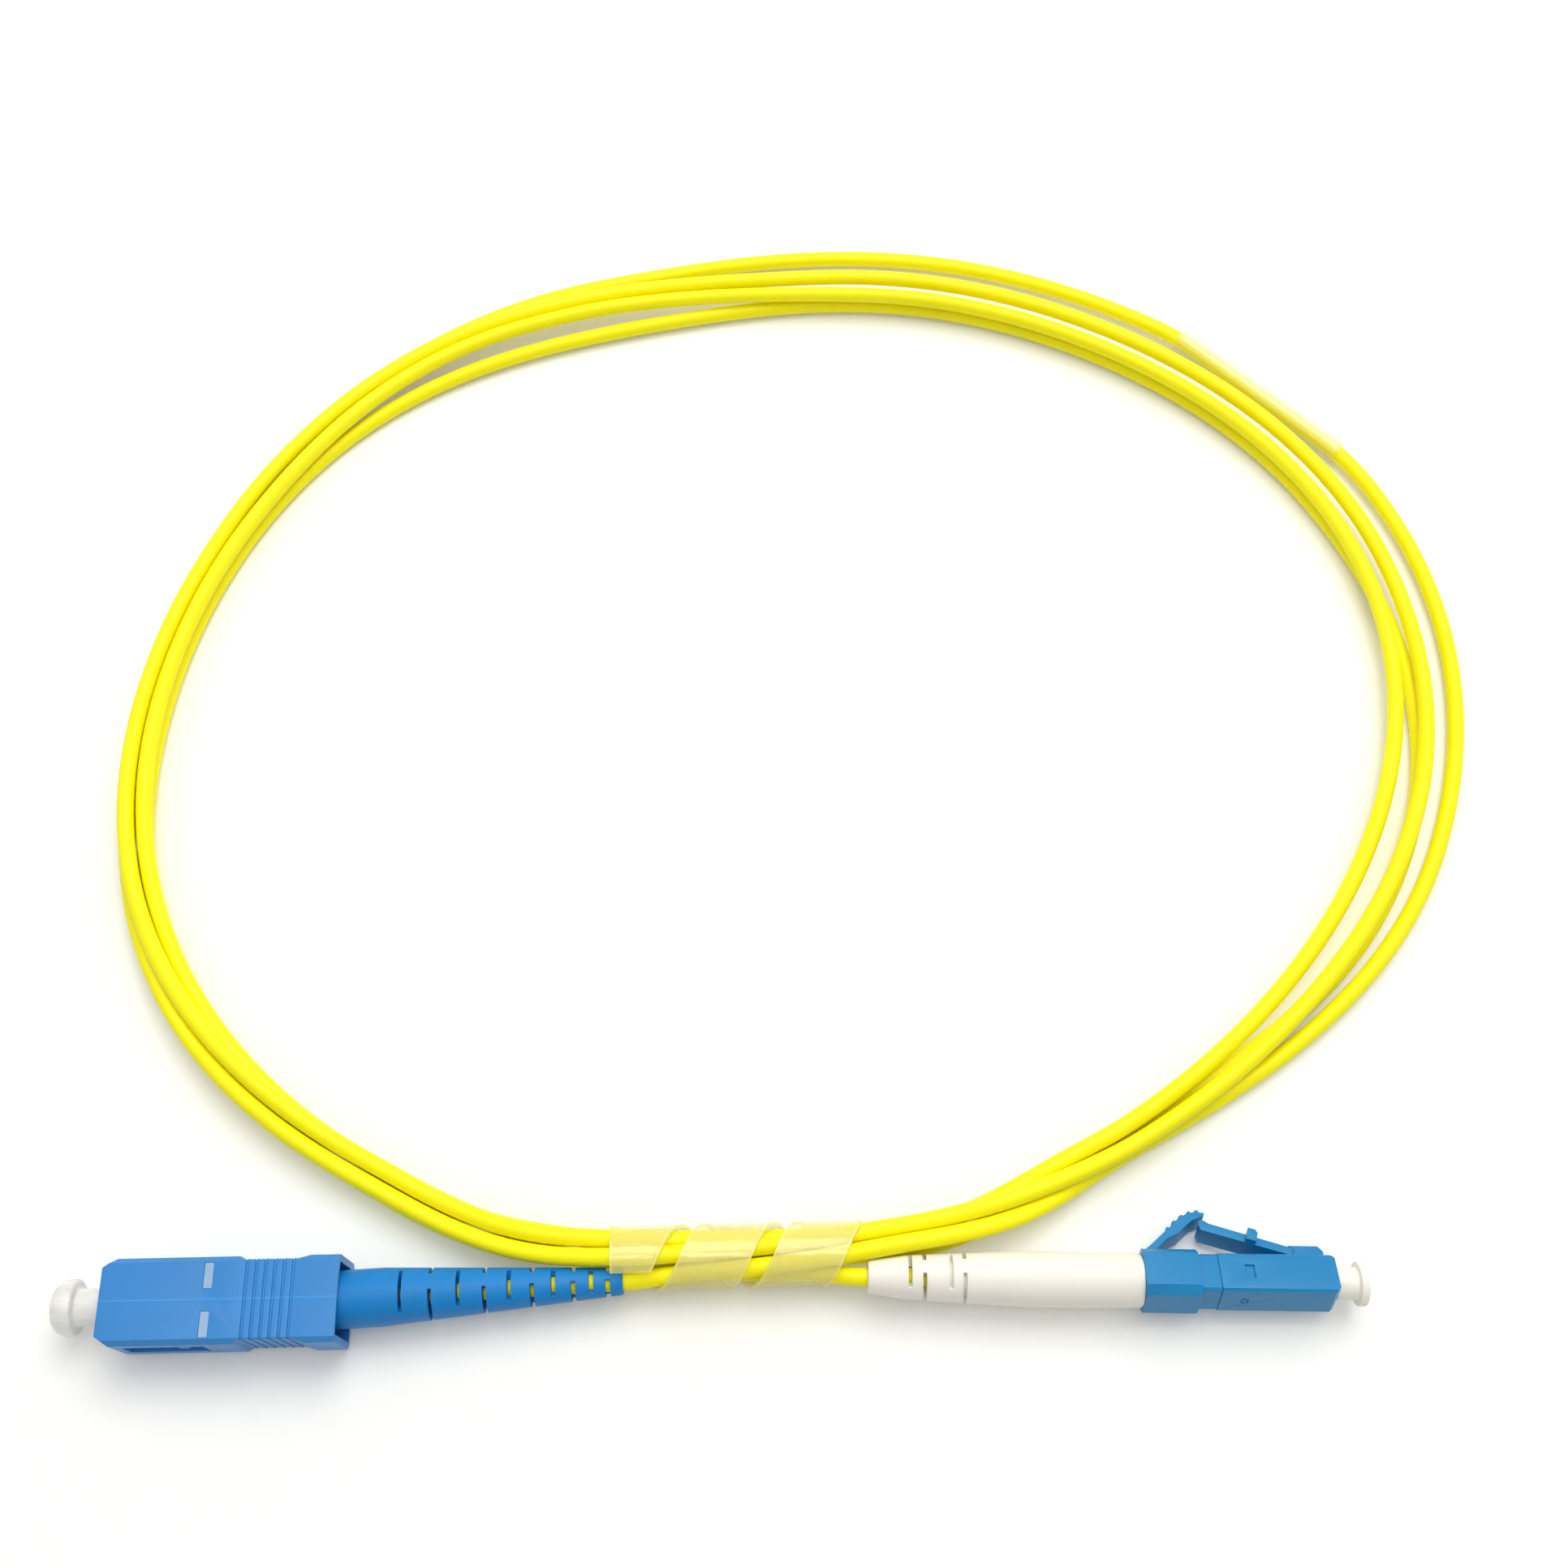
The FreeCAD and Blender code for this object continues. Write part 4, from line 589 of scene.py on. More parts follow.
def grown(name, title, shape, values):
    """Mesh that a geometry tree makes, with a named input for each value."""
    group = bpy.data.node_groups.new(title, "GeometryNodeTree")
    face = group.interface
    face.new_socket("Geometry", in_out="OUTPUT", socket_type="NodeSocketGeometry")
    for label, value in values.items():
        socket = face.new_socket(label, in_out="INPUT", socket_type=SOCKET_KINDS[type(value)])
        socket.default_value = value
    t = Tree(group)
    given = t.add("NodeGroupInput").outputs
    real = t.out("GeometryNodeRealizeInstances", {0: shape(t, given)})
    painted = t.out("GeometryNodeSetMaterial", {"Geometry": real, "Material": given["Material"]})
    t.add("NodeGroupOutput", {0: painted})
    helper = linked(name + "_draft", bpy.data.meshes.new(name + "_draft"))
    modifier = helper.modifiers.new("Nodes", "NODES")
    modifier.node_group = group
    for item in face.items_tree:
        if item.in_out == "INPUT":
            modifier[item.identifier] = values[item.name]
    return plain_mesh(helper, name)


def marked(t, geometry, name, kind, value):
    """Geometry whose points carry a value under a name."""
    return t.out("GeometryNodeStoreNamedAttribute", {"Geometry": geometry, "Name": name, "Value": value},
                 data_type=kind, domain="POINT")


def spiral_band(t, given):
    """Band wound round the X axis: a grid laid on a helix, cut square at both ends and thickened."""
    grid = t.out("GeometryNodeMeshGrid", {"Size X": 1.0, "Size Y": 1.0, "Vertices X": 420, "Vertices Y": 41})
    around, across, _ = t.add("ShaderNodeSeparateXYZ", {0: t.out("GeometryNodeInputPosition")}).outputs
    span = t.math("SUBTRACT", given["Last Angle"], given["First Angle"])
    turned = t.math("MULTIPLY", span, t.math("ADD", around, 0.5))
    degrees = t.math("ADD", given["First Angle"], turned)
    angle = t.math("RADIANS", degrees)
    rise = t.math("MULTIPLY", given["Pitch"], t.math("DIVIDE", degrees, 360.0))
    axial = t.math("ADD", t.math("ADD", given["Top"], rise), t.math("MULTIPLY", across, given["Band"]))
    kept = t.math("MINIMUM", t.math("MAXIMUM", axial, 0.0), given["Length"])
    edge = t.math("POWER", t.math("ABSOLUTE", t.math("MULTIPLY", across, 2.0)), 6.0)
    radius = t.math("ADD", given["Bore Radius"], t.math("MULTIPLY", edge, given["Lip"]))
    point = t.out("ShaderNodeCombineXYZ", {
        0: kept, 1: t.math("MULTIPLY", radius, t.math("SINE", angle)),
        2: t.math("MULTIPLY", radius, t.math("COSINE", angle))})
    beyond = t.out("FunctionNodeBooleanMath", {
        0: t.math("LESS_THAN", axial, 0.0),
        1: t.math("GREATER_THAN", axial, given["Length"])}, operation="OR")
    inner = t.math("SUBTRACT", t.math("DIVIDE", given["Band"], 2.0),
                   t.math("MULTIPLY", given["Band"], t.math("ABSOLUTE", across)))
    square = t.math("MINIMUM", kept, t.math("SUBTRACT", given["Length"], kept))
    near = t.math("SUBTRACT", 1.0, t.math("DIVIDE", t.math("MINIMUM", inner, square), given["Rim"]), True)
    noted = marked(t, marked(t, grid, "beyond", "BOOLEAN", beyond), "edge", "FLOAT", near)
    bent = t.out("GeometryNodeSetPosition", {"Geometry": noted, "Position": point})
    outside = t.out("GeometryNodeInputNamedAttribute", {"Name": "beyond"}, data_type="BOOLEAN")
    cut = t.out("GeometryNodeDeleteGeometry", {"Geometry": bent, "Selection": outside}, domain="FACE")
    thick = t.out("GeometryNodeExtrudeMesh", {
        "Mesh": cut, "Offset Scale": given["Wall"], "Individual": False}, mode="FACES")
    both = t.add("GeometryNodeJoinGeometry", {0: thick})
    t.feed(both.inputs[0], t.out("GeometryNodeFlipFaces", {0: cut}))
    return t.out("GeometryNodeMergeByDistance", {"Geometry": both.outputs[0], "Distance": 0.0005})


def rib_row(t, given):
    """Row of ribs: each a rounded bar bent round a rectangle with filleted corners."""
    line = t.out("GeometryNodeMeshLine", {
        "Count": given["Count"], "Start Location": t.out("ShaderNodeCombineXYZ", {0: given["First"]}),
        "Offset": t.out("ShaderNodeCombineXYZ", {0: given["Pitch"]})}, mode="OFFSET")
    ring = t.out("GeometryNodeCurvePrimitiveQuadrilateral",
                 {"Width": given["Height"], "Height": given["Width"]}, mode="RECTANGLE")
    fillet = t.out("GeometryNodeFilletCurve", {"Curve": ring, "Radius": given["Corner"], "Count": 6},
                   mode="POLY")
    section = t.out("GeometryNodeCurvePrimitiveCircle", {"Resolution": 16, "Radius": given["Rib"]},
                    mode="RADIUS")
    rib = t.out("GeometryNodeCurveToMesh", {"Curve": fillet, "Profile Curve": section})
    stand = t.out("GeometryNodeTransform", {"Geometry": rib, "Rotation": (0, math.pi / 2, 0)})
    return t.out("GeometryNodeInstanceOnPoints", {"Points": line, "Instance": stand})


def tooth_row(t, given):
    """Small round teeth set along a curved back, across its width."""
    back = t.out("GeometryNodeCurveQuadraticBezier", {
        "Resolution": 24, "Start": given["Start"], "Middle": given["Crest"], "End": given["End"]})
    even = t.out("GeometryNodeResampleCurve", {"Curve": back, "Count": given["Count"]}, mode="COUNT")
    tooth = t.out("GeometryNodeMeshCylinder", {
        "Vertices": 20, "Radius": given["Tooth"], "Depth": given["Width"]})
    return t.out("GeometryNodeInstanceOnPoints", {"Points": even, "Instance": tooth})


# Settings a user may change

def colour_property(label, note, colour):
    """Colour setting from a screen colour."""
    return FloatVectorProperty(name=label, description=note, subtype="COLOR", size=3, min=0, max=1,
                               default=linear(colour))


def length_property(label, note, length):
    """Length setting from millimetres."""
    return FloatProperty(name=label, description=note, default=length * MM, unit="LENGTH")


class CordSettings(bpy.types.PropertyGroup):
    """The jacketed cord and what is on it."""

    diameter: length_property("Jacket", "Diameter of the jacket", JACKET)
    step: FloatProperty(name="Route Step", description="Degrees between points of the route",
                        default=4.0, min=1, max=15)
    colour: colour_property("Jacket Colour", "Colour of the jacket", (255, 243, 3))
    sleeve_outer: length_property("Sleeve", "Outer diameter of the label sleeve", 3.2)
    sleeve_length: length_property("Sleeve Length", "Length of the label sleeve", 27)
    sleeve_colour: colour_property("Sleeve Colour", "Colour of the label sleeve", (255, 248, 130))
    wrap_pitch: FloatProperty(name="Wrap Pitch", description="Run of the wrap in one turn, in millimetres",
                              default=10.1)
    wrap_band: FloatProperty(name="Wrap Band", description="Width of the wrap's band, in millimetres",
                             default=7.8)
    wrap_colour: colour_property("Wrap Colour", "Colour of the spiral wrap", (250, 241, 138))


class PlugSettings(bpy.types.PropertyGroup):
    """The two plugs."""

    square_colour: colour_property("Square Plug", "Colour of the square plug", (48, 130, 198))
    small_colour: colour_property("Small Plug", "Colour of the small plug", (0, 125, 181))
    boot_colour: colour_property("Blue Boot", "Colour of the square plug's boot", (10, 124, 196))
    white: colour_property("White Plastic", "Colour of the white boot and cap", (239, 235, 224))
    edge: length_property("Edge Radius", "Radius of the moulded edges", 0.14)
    ribs: IntProperty(name="Grip Ribs", description="Ribs on the square plug's grip",
                      default=6, min=0, max=12)
    teeth: IntProperty(name="Trigger Teeth", description="Teeth on the small plug's trigger",
                       default=5, min=0, max=9)


class StageSettings(bpy.types.PropertyGroup):
    """Floor, lamps and camera."""

    floor: colour_property("Floor", "Colour of the floor", (250, 250, 246))
    lens: FloatProperty(name="Lens", description="Focal length", default=41.405, subtype="DISTANCE_CAMERA")
    key: FloatProperty(name="Key Lamp", description="Power of the main lamp", default=2.6, unit="POWER")
    sky: FloatProperty(name="Sky", description="Strength of the even light from all round", default=0.5)


# Operators

class MakeStage(bpy.types.Operator):
    """Makes the floor, the lamps, the world and the camera"""

    bl_idname = "patch_cord.stage"
    bl_label = "Stage"

    def execute(self, context):
        settings = context.scene.patch_stage
        scene = context.scene
        scene.view_settings.view_transform = "Standard"
        camera = bpy.data.cameras.new("camera")
        camera.lens = settings.lens
        camera.sensor_width = 36.0
        camera.clip_start = 0.01
        camera.clip_end = 10
        view = linked("camera", camera)
        view.location = (0.0077, -0.0307, 0.203)
        view.rotation_euler = (math.radians(24.15), 0, 0)
        scene.camera = view
        self.world(scene, settings.sky)
        self.lamp("key_lamp", (0.10, 0.30, 0.62), target=(0.0, 0.06, 0.0), size=0.45, power=settings.key)
        self.lamp(
            "top_lamp", (0.0, -0.03, 0.62), target=(0.0, 0.03, 0.0), size=0.14, power=settings.key * 0.14)
        self.floor(settings.floor)
        return {"FINISHED"}

    def world(self, scene, strength):
        """Pale light, most from above and behind, and white where the camera or a mirror sees it."""
        world = bpy.data.worlds.new("soft_light")
        world.use_nodes = True
        t = Tree(world.node_tree)
        seen = t.seen()
        _, back, up = t.add("ShaderNodeSeparateXYZ", {
            0: t.add("ShaderNodeTexCoord").outputs["Generated"]}).outputs
        high = t.math("ADD", up, t.math("MULTIPLY", back, 0.9))
        lit = t.spread(high, strength * 0.25, strength * 1.7, (-0.65, 1.25))
        sky = world.node_tree.nodes["Background"].inputs
        sky["Color"].default_value = (1.0, 0.995, 0.985, 1)
        t.feed(sky["Strength"], t.math("ADD", t.math("MULTIPLY", lit, t.math("SUBTRACT", 1.0, seen)), seen))
        scene.world = world

    def lamp(self, name, place, target, size, power):
        """Soft square lamp."""
        data = bpy.data.lights.new(name, "AREA")
        data.size = size
        data.energy = power
        lamp = linked(name, data)
        lamp.location = place
        lamp.rotation_euler = (Vector(target) - Vector(place)).to_track_quat("-Z", "Y").to_euler()

    def floor(self, colour):
        """Pale table top that keeps the shadows and shows white further out."""
        s = Shader("table_white")
        s.set(Base_Color=s.ramp(s.noise(0.25, 4.0), scaled(colour, 0.985), colour), Roughness=0.75,
              Specular_IOR_Level=0.2)
        reach = s.add("ShaderNodeVectorMath", {0: s.place, 1: CENTRE * MM}, operation="DISTANCE")
        away = s.spread(reach.outputs["Value"], 0.1, 1.0, (0.12, 0.32), interpolation_type="SMOOTHSTEP")
        s.cover(s.math("MULTIPLY", s.seen(), away), s.out("ShaderNodeEmission", {"Color": (1, 1, 1, 1)}))
        bm = bmesh.new()
        bmesh.ops.create_grid(bm, x_segments=8, y_segments=8, size=1.6)
        mesh = mesh_from(bm, "table_top")
        mesh.materials.append(s.material)
        table = linked("table_top", mesh)


class MakeCord(bpy.types.Operator):
    """Makes the cord: one curve through its whole route, and its two ends inside the boots"""

    bl_idname = "patch_cord.cord"
    bl_label = "Cord"

    def execute(self, context):
        settings = context.scene.patch_cord
        material = jacket_plastic("jacket_yellow", settings.colour)
        route = cord_route(settings.step)
        data = bpy.data.curves.new("cord", "CURVE")
        data.dimensions = "3D"
        data.bevel_depth = settings.diameter / 2
        data.bevel_resolution = 6
        data.resolution_u = 3
        data.use_fill_caps = True
        line = data.splines.new("NURBS")
        line.points.add(len(route) - 1)
        for point, place in zip(line.points, route):
            point.co = (*(place * MM), 1)
        line.order_u = 3
        line.use_endpoint_u = True
        new_object("cord", data, ROOT, material, ["cord_coil"])
        for plug, where, ends in (("sc", SQUARE_BOOT, (8.83, SQ_BOOT_REACH)), ("lc", SMALL, (SM_TIP, -28.3))):
            mesh = rod(plug + "_lead", where, ends, JACKET / 2, sides=32, steps=12)
            new_object(plug + "_lead", mesh, ROOT, material, [plug + "_cord_lead"])
        return {"FINISHED"}


class MakeSleeve(bpy.types.Operator):
    """Makes the clear label sleeve"""

    bl_idname = "patch_cord.sleeve"
    bl_label = "Label Sleeve"

    def execute(self, context):
        settings = context.scene.patch_cord
        start, end = sleeve_line()
        way = (end - start).normalized()
        length = settings.sleeve_length / MM
        outer = settings.sleeve_outer / MM / 2
        inner = 1.15
        chamfer = 0.05
        steps = 30
        ripple, beat = 0.012, 2.1
        rim = 0.03
        base = (start + end) / 2 - way * (length / 2)
        turn = way.to_track_quat("X", "Z").to_matrix().to_4x4()
        where = Matrix.Scale(MM, 4) @ Matrix.Translation(base) @ turn
        outline = [(chamfer, inner), (0, inner), (0, outer - chamfer), (chamfer, outer)]
        outline += [(length * i / steps, outer + ripple * math.sin(beat * i)) for i in range(1, steps)]
        outline += [(length - chamfer, outer), (length, outer - chamfer), (length, inner),
                    (length - chamfer, inner)]
        mesh = smoothed(lathe("label_sleeve_clear", outline, 48, where, closed=True), 45)
        along = [(v.co / MM - base).dot(way) for v in mesh.vertices]
        ends = [1.0 if min(x, length - x) < rim else 0.0 for x in along]
        mesh.attributes.new("edge", "FLOAT", "POINT").data.foreach_set("value", ends)
        material = clear_plastic("clear_sleeve", settings.sleeve_colour, cover=0.11, rough=0.16, shine=0.07,
                                 rim=0.25)
        new_object("label_sleeve_clear", mesh, ROOT, material, ["label_sleeve"])
        return {"FINISHED"}


class MakeWrap(bpy.types.Operator):
    """Makes the spiral wrap that ties the coil"""

    bl_idname = "patch_cord.wrap"
    bl_label = "Spiral Wrap"

    def execute(self, context):
        settings = context.scene.patch_cord
        start = TIE_LEFT + TIE_ASIDE * (TIE_BOW / 2 + WRAP_SAG) + UP * TIE_HEIGHT
        material = clear_plastic("clear_wrap", settings.wrap_colour, cover=0.32, rough=0.16, shine=0.03,
                                 rim=0.3)
        mesh = grown("tie_wrap", "Spiral Band", spiral_band, {
            "Bore Radius": WRAP_BORE, "Wall": WRAP_WALL - WRAP_LIP, "Pitch": settings.wrap_pitch,
            "Band": settings.wrap_band, "First Angle": WRAP_ANGLES[0], "Last Angle": WRAP_ANGLES[1],
            "Top": WRAP_TOP, "Length": TIE_ACROSS.length, "Lip": WRAP_LIP, "Rim": 0.35, "Material": material})
        mesh = bevelled(mesh, "tie_wrap", 0.07, 40, 2)
        mesh.transform(laid(start, math.degrees(math.atan2(TIE_ACROSS.y, TIE_ACROSS.x))))
        new_object("tie_wrap", mesh, ROOT, material, ["spiral_wrap"])
        return {"FINISHED"}


class MakeSquarePlug(bpy.types.Operator):
    """Makes the square plug: grip, ribs, inner frame, slot panes and cap"""

    bl_idname = "patch_cord.square_plug"
    bl_label = "Square Plug"

    def execute(self, context):
        settings = context.scene.patch_plug
        # The grip's centre line gets a parting seam with a painted sheen on it.
        blue = moulded_plastic("square_plug_blue", settings.square_colour, rough=0.36, grain=0.01, gloss=0.4,
                               seam=(SQ_AT, SQ_YAW, 0.2))
        pale = moulded_plastic("slot_pale", linear((148, 177, 210)), rough=0.3, grain=0.01, spread=0.03,
                               inside=0.2)
        grip = from_node("sc_grip_housing", "sc_grip", settings.edge / MM)
        new_object("sc_grip", grip, "sc_grip", blue, ["sc_grip_housing"])
        ribs = grown("sc_grip_ribs", "Grip Ribs", rib_row, {
            "Count": settings.ribs, "Pitch": 0.98, "First": 15.29, "Width": 8.2, "Height": 7.02,
            "Corner": 0.5, "Rib": 0.13, "Material": blue})
        ribs.transform(SQUARE)
        new_object("sc_grip_ribs", smoothed(ribs, 40), "sc_grip", blue)
        inner_frame = from_node("sc_plug_frame", "sc_frame", 0.08)
        new_object("sc_frame", inner_frame, ROOT, blue, ["sc_plug_frame"])
        new_object("sc_slot_panes", self.panes(), "sc_grip", pale)
        self.cap()
        return {"FINISHED"}

    def panes(self):
        """Pale panes, almost flush, that close the grip's four slots."""
        bm = bmesh.new()
        size = Matrix.Diagonal((0.97, 2.67, 0.68, 1))
        for up in (-1, 1):
            for across in (-1, 1):
                place = Matrix.Translation((11.3, 2.5 * across, 3.32 * up)) @ size
                bmesh.ops.create_cube(bm, size=1, matrix=SQUARE @ place)
        return bevelled(mesh_from(bm, "sc_slot_panes"), "sc_slot_panes", 0.07 * MM, 30, 2)

    def cap(self):
        """Translucent cap with a domed head and a grip stem."""
        milky = clear_plastic("cap_translucent", linear((246, 244, 238)), cover=0.72, rough=0.3, shine=0.04,
                              inside=0.5)
        head = rounded([(-5.8, 0.0), (-5.8, 1.55), (-5.52, 2.3), (-4.95, 2.8), (-4.2, 3.0), (-3.45, 3.0),
                        (-3.2, 2.72), (-3.2, 1.95), (5.2, 1.93), (5.2, 1.27)], 0.3)
        hollow = [(-1.0, 1.27), (-1.0, 0.0)]
        mesh = smoothed(lathe("sc_cap_shell", head + hollow, 64, SQUARE), 38)
        new_object("sc_cap_shell", mesh, "sc_cap", milky, ["sc_dust_cap"])


class MakeSquareBoot(bpy.types.Operator):
    """Makes the slotted boot of the square plug"""

    bl_idname = "patch_cord.square_boot"
    bl_label = "Square Boot"

    def execute(self, context):
        base, tip = -0.55, SQ_BOOT_REACH
        run = 25.5
        cone = tip - run
        thick, thin = 3.05, 1.425
        base_round, tip_round = 0.25, 0.18

        def radius(x):
            taper = thick - (thick - thin) * max(0.0, x - cone) / run
            lip = 0.16 * (1 - ease(x, base, base + base_round)) + 0.13 * ease(x, tip - tip_round, tip)
            return taper - lip

        def bore(x):
            return 2.6 - 1.5 * ease(x, 6.5, 8.2)

        upright, level = (-22.5, 69), (86, 50)
        slots = []
        x = tip - 1.6
        for i in range(10):
            slots.append(slot_pair(x, 0.53 - 0.02 * i, *(level if i % 2 else upright)))
            x -= 1.75 + 0.17 * i
        stations = [base, base + 0.06, base + 0.14, base + base_round, 3, 6.5, 7.0, 7.4, 7.8, 8.2]
        stations += [cone + 1.5 * k for k in range(17)] + [tip - tip_round, tip - 0.1, tip - 0.04, tip]
        mesh = slotted_boot("sc_boot_slotted", radius, bore, stations, slots, SQUARE_BOOT)
        mesh = bevelled(mesh, "sc_boot_slotted", 0.07 * MM, 42, 2)
        blue = moulded_plastic("boot_blue", context.scene.patch_plug.boot_colour, rough=0.46, grain=0.014,
                               gloss=0.3)
        new_object("sc_boot_slotted", mesh, ROOT, blue, ["sc_boot"])
        return {"FINISHED"}


class MakeSmallPlug(bpy.types.Operator):
    """Makes the small plug: housing, latch, clip, trigger, neck and cap"""

    bl_idname = "patch_cord.small_plug"
    bl_label = "Small Plug"

    def execute(self, context):
        settings = context.scene.patch_plug
        edge = settings.edge / MM
        blue = moulded_plastic("small_plug_blue", settings.small_colour, rough=0.36, grain=0.01, gloss=0.4)
        for name, node, body, width in (
                ("lc_housing", "lc_front_housing", ROOT, edge * 1.3),
                ("lc_neck", "lc_stop_body", ROOT, 0.06),
                ("lc_clip", "lc_rear_clip", ROOT, edge),
                ("lc_latch_spring", "lc_latch", "lc_latch_beam", edge * 0.8),
                ("lc_trigger_arm", "lc_trigger", "lc_trigger_lever", edge * 0.7)):
            new_object(name, from_node(node, name, width), body, blue, [node])
        hinge = Vector((-19.3, 2.9, 0))
        teeth = grown("lc_trigger_teeth", "Serrations", tooth_row, {
            "Count": settings.teeth, "Start": hinge + Vector((2.2, 2.72, 0)),
            "Crest": hinge + Vector((3.6, 4.6, 0)), "End": hinge + Vector((5.6, 4.9, 0)),
            "Tooth": 0.24, "Width": 2.4, "Material": blue})
        teeth = bevelled(teeth, "lc_trigger_teeth", 0.08, 50, 2)
        teeth.transform(SMALL)
        new_object("lc_trigger_teeth", teeth, "lc_trigger_lever", blue)
        self.cap(settings.white)
        return {"FINISHED"}

    def cap(self, colour):
        """White cap: stem, flange and the sleeve on the ferrule."""
        white = moulded_plastic("cap_white", colour, rough=0.42, grain=0.01, spread=0.02, inside=0.3)
        outline = rounded([(3.3, 0.0), (3.3, 2.35), (2.4, 2.35), (2.4, 1.72), (0.03, 1.75), (0.03, 1.45),
                           (-4.4, 1.43), (-4.4, 0.645)], 0.2)
        hollow = [(0.8, 0.645), (0.8, 0.0)]
        mesh = smoothed(lathe("lc_cap_shell", outline + hollow, 64, SMALL), 38)
        new_object("lc_cap_shell", mesh, "lc_cap", white, ["lc_dust_cap"])


class MakeSmallBoot(bpy.types.Operator):
    """Makes the white boot of the small plug, with a core behind its two blind slots"""

    bl_idname = "patch_cord.small_boot"
    bl_label = "Small Boot"

    def execute(self, context):
        profile = [(0.0, 1.6), (0.12, 1.75), (4.0, 2.3), (10.3, 2.6), (17.3, 2.925), (23.5, 2.925),
                   (29.15, 2.81), (29.4, 2.7)]

        def radius(x):
            run = x - SM_TIP
            for (x0, r0), (x1, r1) in zip(profile, profile[1:]):
                if run <= x1 + 1e-6:
                    return r0 + (r1 - r0) * max(0.0, run - x0) / (x1 - x0)
            return profile[-1][1]

        def bore(x):
            return 1.1 + 0.8 * ease(x, -29.7, -28.7)

        slots = []
        for i, run in enumerate((4.5, 6.05, 8.85, 10.3)):
            middle, half = (158, 71) if i % 2 else (67, 60)
            slots.append(slot_pair(SM_TIP + run, 0.4, middle - SM_ROLL, half))
        stations = [SM_TIP + run for run in (0, 0.05, 0.12, 29.15, 29.3, 29.4)]
        stations += [SM_TIP + 0.98 * k for k in range(1, 30)] + [-29.7, -29.4, -29.1, -28.7]
        mesh = slotted_boot("lc_boot_slotted", radius, bore, stations, slots, SMALL)
        mesh = bevelled(mesh, "lc_boot_slotted", 0.06 * MM, 42, 2)
        white = moulded_plastic("boot_white", context.scene.patch_plug.white, rough=0.5, grain=0.012,
                                spread=0.02, inside=0.25)
        new_object("lc_boot_slotted", mesh, ROOT, white, ["lc_boot"])
        core = [(SM_TIP + run, r) for run, r in ((7.9, 1.05), (7.9, 1.85), (11.4, 1.95), (11.4, 1.05))]
        core = smoothed(lathe("lc_boot_core", core, 48, SMALL, closed=True), 40)
        new_object("lc_boot_core", core, ROOT, white)
        return {"FINISHED"}


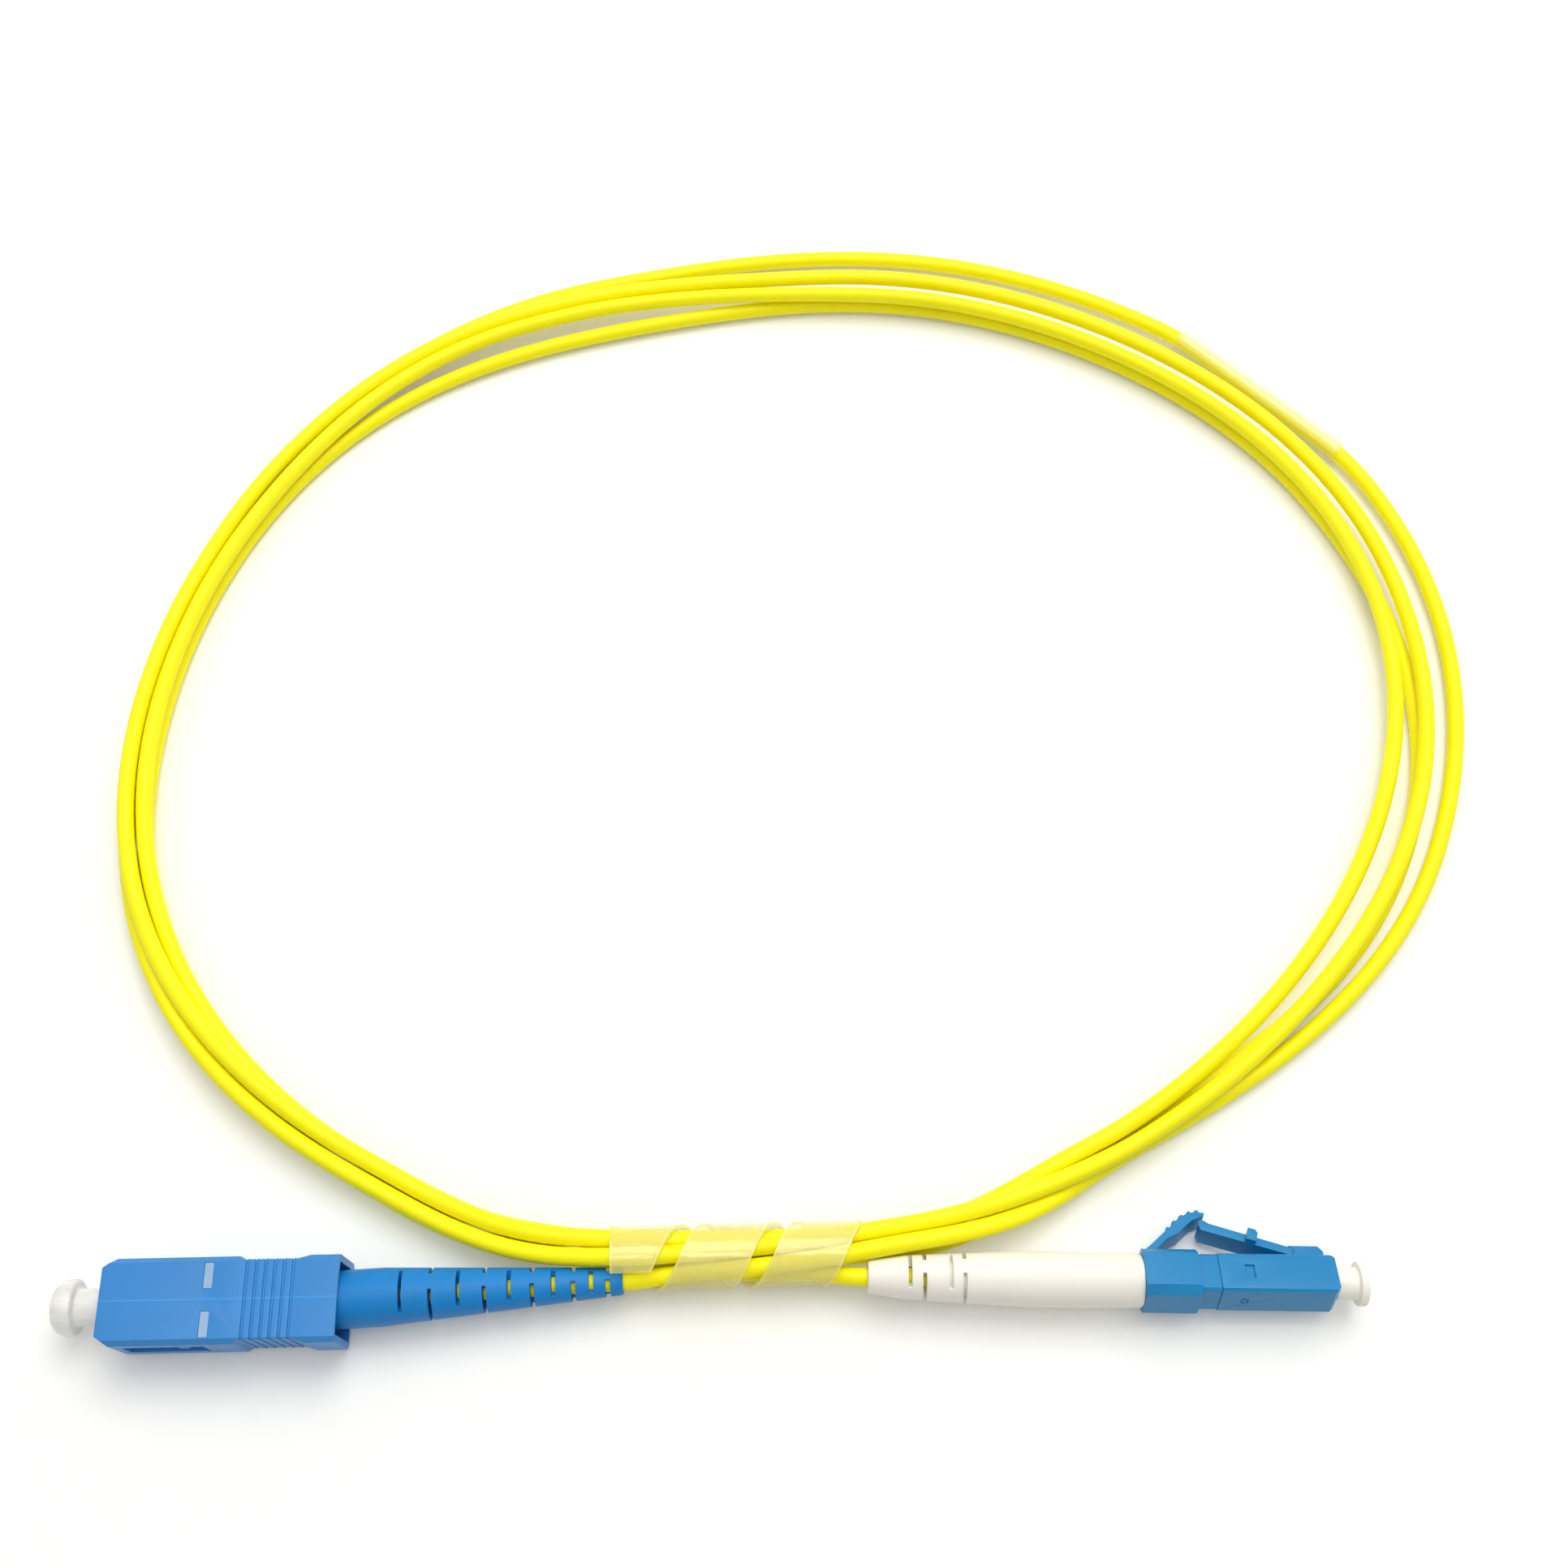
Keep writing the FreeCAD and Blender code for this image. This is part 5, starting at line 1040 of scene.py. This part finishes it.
class MakeInnerParts(bpy.types.Operator):
    """Finishes the ferrules, springs, crimps, fibres and yarn inside the plugs"""

    bl_idname = "patch_cord.inner"
    bl_label = "Inner Parts"

    def execute(self, context):
        finishes = {
            "ferrule": moulded_plastic("ceramic", linear((238, 236, 226)), rough=0.12, grain=0.001,
                                       spread=0.02, gloss=0.7),
            "ferrule_flange": metal("plated_metal", linear((205, 206, 208)), 0.24, (0.05, 1.0, 1.0)),
            "spring": metal("spring_steel", linear((168, 170, 175)), 0.3),
            "crimp_sleeve": metal("crimp_metal", linear((196, 188, 170)), 0.34, (1.0, 0.2, 0.2))}
        for piece, material in finishes.items():
            for plug in ("sc", "lc"):
                self.paint(plug + "_" + piece, material)
        stop = moulded_plastic("stop_body", linear((150, 152, 156)), rough=0.35, grain=0.01)
        self.paint("sc_stop_body", stop)
        buffer_white = moulded_plastic("buffer_white", linear((240, 240, 238)), rough=0.4, grain=0.004,
                                       spread=0.02)
        self.fibre("sc", SQUARE, (9.8, 25.43), buffer_white)
        self.fibre("lc", SMALL, (-27.2, -6.0), buffer_white)
        yarn = jacket_plastic("strength_yarn", linear((236, 210, 90)))
        self.yarn("sc", SQUARE, (18.63, 24.43), (1.68, 1.87), yarn)
        self.yarn("lc", SMALL, (-26.0, -20.8), (1.28, 1.47), yarn)
        return {"FINISHED"}

    def paint(self, node, material):
        """Gives a carried-over node its material."""
        mesh = bpy.data.objects[node].data
        mesh.materials.clear()
        mesh.materials.append(material)

    def fibre(self, plug, where, ends, material):
        """Buffered fibre on the plug's axis."""
        mesh = rod(plug + "_fibre", where, ends, 0.45, sides=20, steps=16)
        new_object(plug + "_fibre", mesh, plug + "_floating_ferrule", material,
                   [plug + "_buffered_fibre"])

    def yarn(self, plug, where, ends, radii, material):
        """Layer of strands laid round the spigot with a slight twist."""
        start, end = ends
        inner, outer = radii
        strands, across, steps, twist = 26, 4, 14, 0.03
        sides = strands * across
        bm = bmesh.new()
        rings = []
        for i in range(steps + 1):
            ring = []
            for k in range(sides):
                r = outer - (outer - inner) * 0.5 * abs(math.cos(math.pi * k / across))
                a = 2 * math.pi * k / sides + twist * i
                x = start + (end - start) * i / steps
                ring.append(bm.verts.new((x, r * math.cos(a), r * math.sin(a))))
            rings.append(ring)
        rings += [ring_of(bm, x, inner, sides) for x in (end, start)]
        join_rings(bm, rings, closed=True)
        mesh = smoothed(placed_mesh(bm, plug + "_yarn", where), 60)
        new_object(plug + "_yarn", mesh, ROOT, material, [plug + "_aramid_yarn"])


OPERATORS = (MakeStage, MakeCord, MakeSleeve, MakeWrap, MakeSquarePlug, MakeSquareBoot, MakeSmallPlug,
             MakeSmallBoot, MakeInnerParts)


class PatchCordPanel(bpy.types.Panel):
    """Lists the pieces and their settings"""

    bl_idname = "VIEW3D_PT_patch_cord"
    bl_label = "Patch Cord"
    bl_space_type = "VIEW_3D"
    bl_region_type = "UI"
    bl_category = "Patch Cord"

    def draw(self, context):
        for settings in (context.scene.patch_stage, context.scene.patch_cord, context.scene.patch_plug):
            box = self.layout.box()
            for name in settings.__annotations__:
                box.prop(settings, name)
        for operator in OPERATORS:
            self.layout.operator(operator.bl_idname)


CLASSES = (CordSettings, PlugSettings, StageSettings) + OPERATORS + (PatchCordPanel,)


def register():
    """Registers the classes and their settings."""
    for made in CLASSES:
        bpy.utils.register_class(made)
    bpy.types.Scene.patch_cord = PointerProperty(type=CordSettings)
    bpy.types.Scene.patch_plug = PointerProperty(type=PlugSettings)
    bpy.types.Scene.patch_stage = PointerProperty(type=StageSettings)


def unregister():
    """Takes the classes and their settings away again."""
    del bpy.types.Scene.patch_cord
    del bpy.types.Scene.patch_plug
    del bpy.types.Scene.patch_stage
    for made in reversed(CLASSES):
        bpy.utils.unregister_class(made)


def main():
    """Builds everything in order."""
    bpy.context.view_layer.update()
    register()
    bpy.ops.patch_cord.stage()
    bpy.ops.patch_cord.cord()
    bpy.ops.patch_cord.sleeve()
    bpy.ops.patch_cord.wrap()
    bpy.ops.patch_cord.square_plug()
    bpy.ops.patch_cord.square_boot()
    bpy.ops.patch_cord.small_plug()
    bpy.ops.patch_cord.small_boot()
    bpy.ops.patch_cord.inner()


if __name__ == "__main__":
    main()
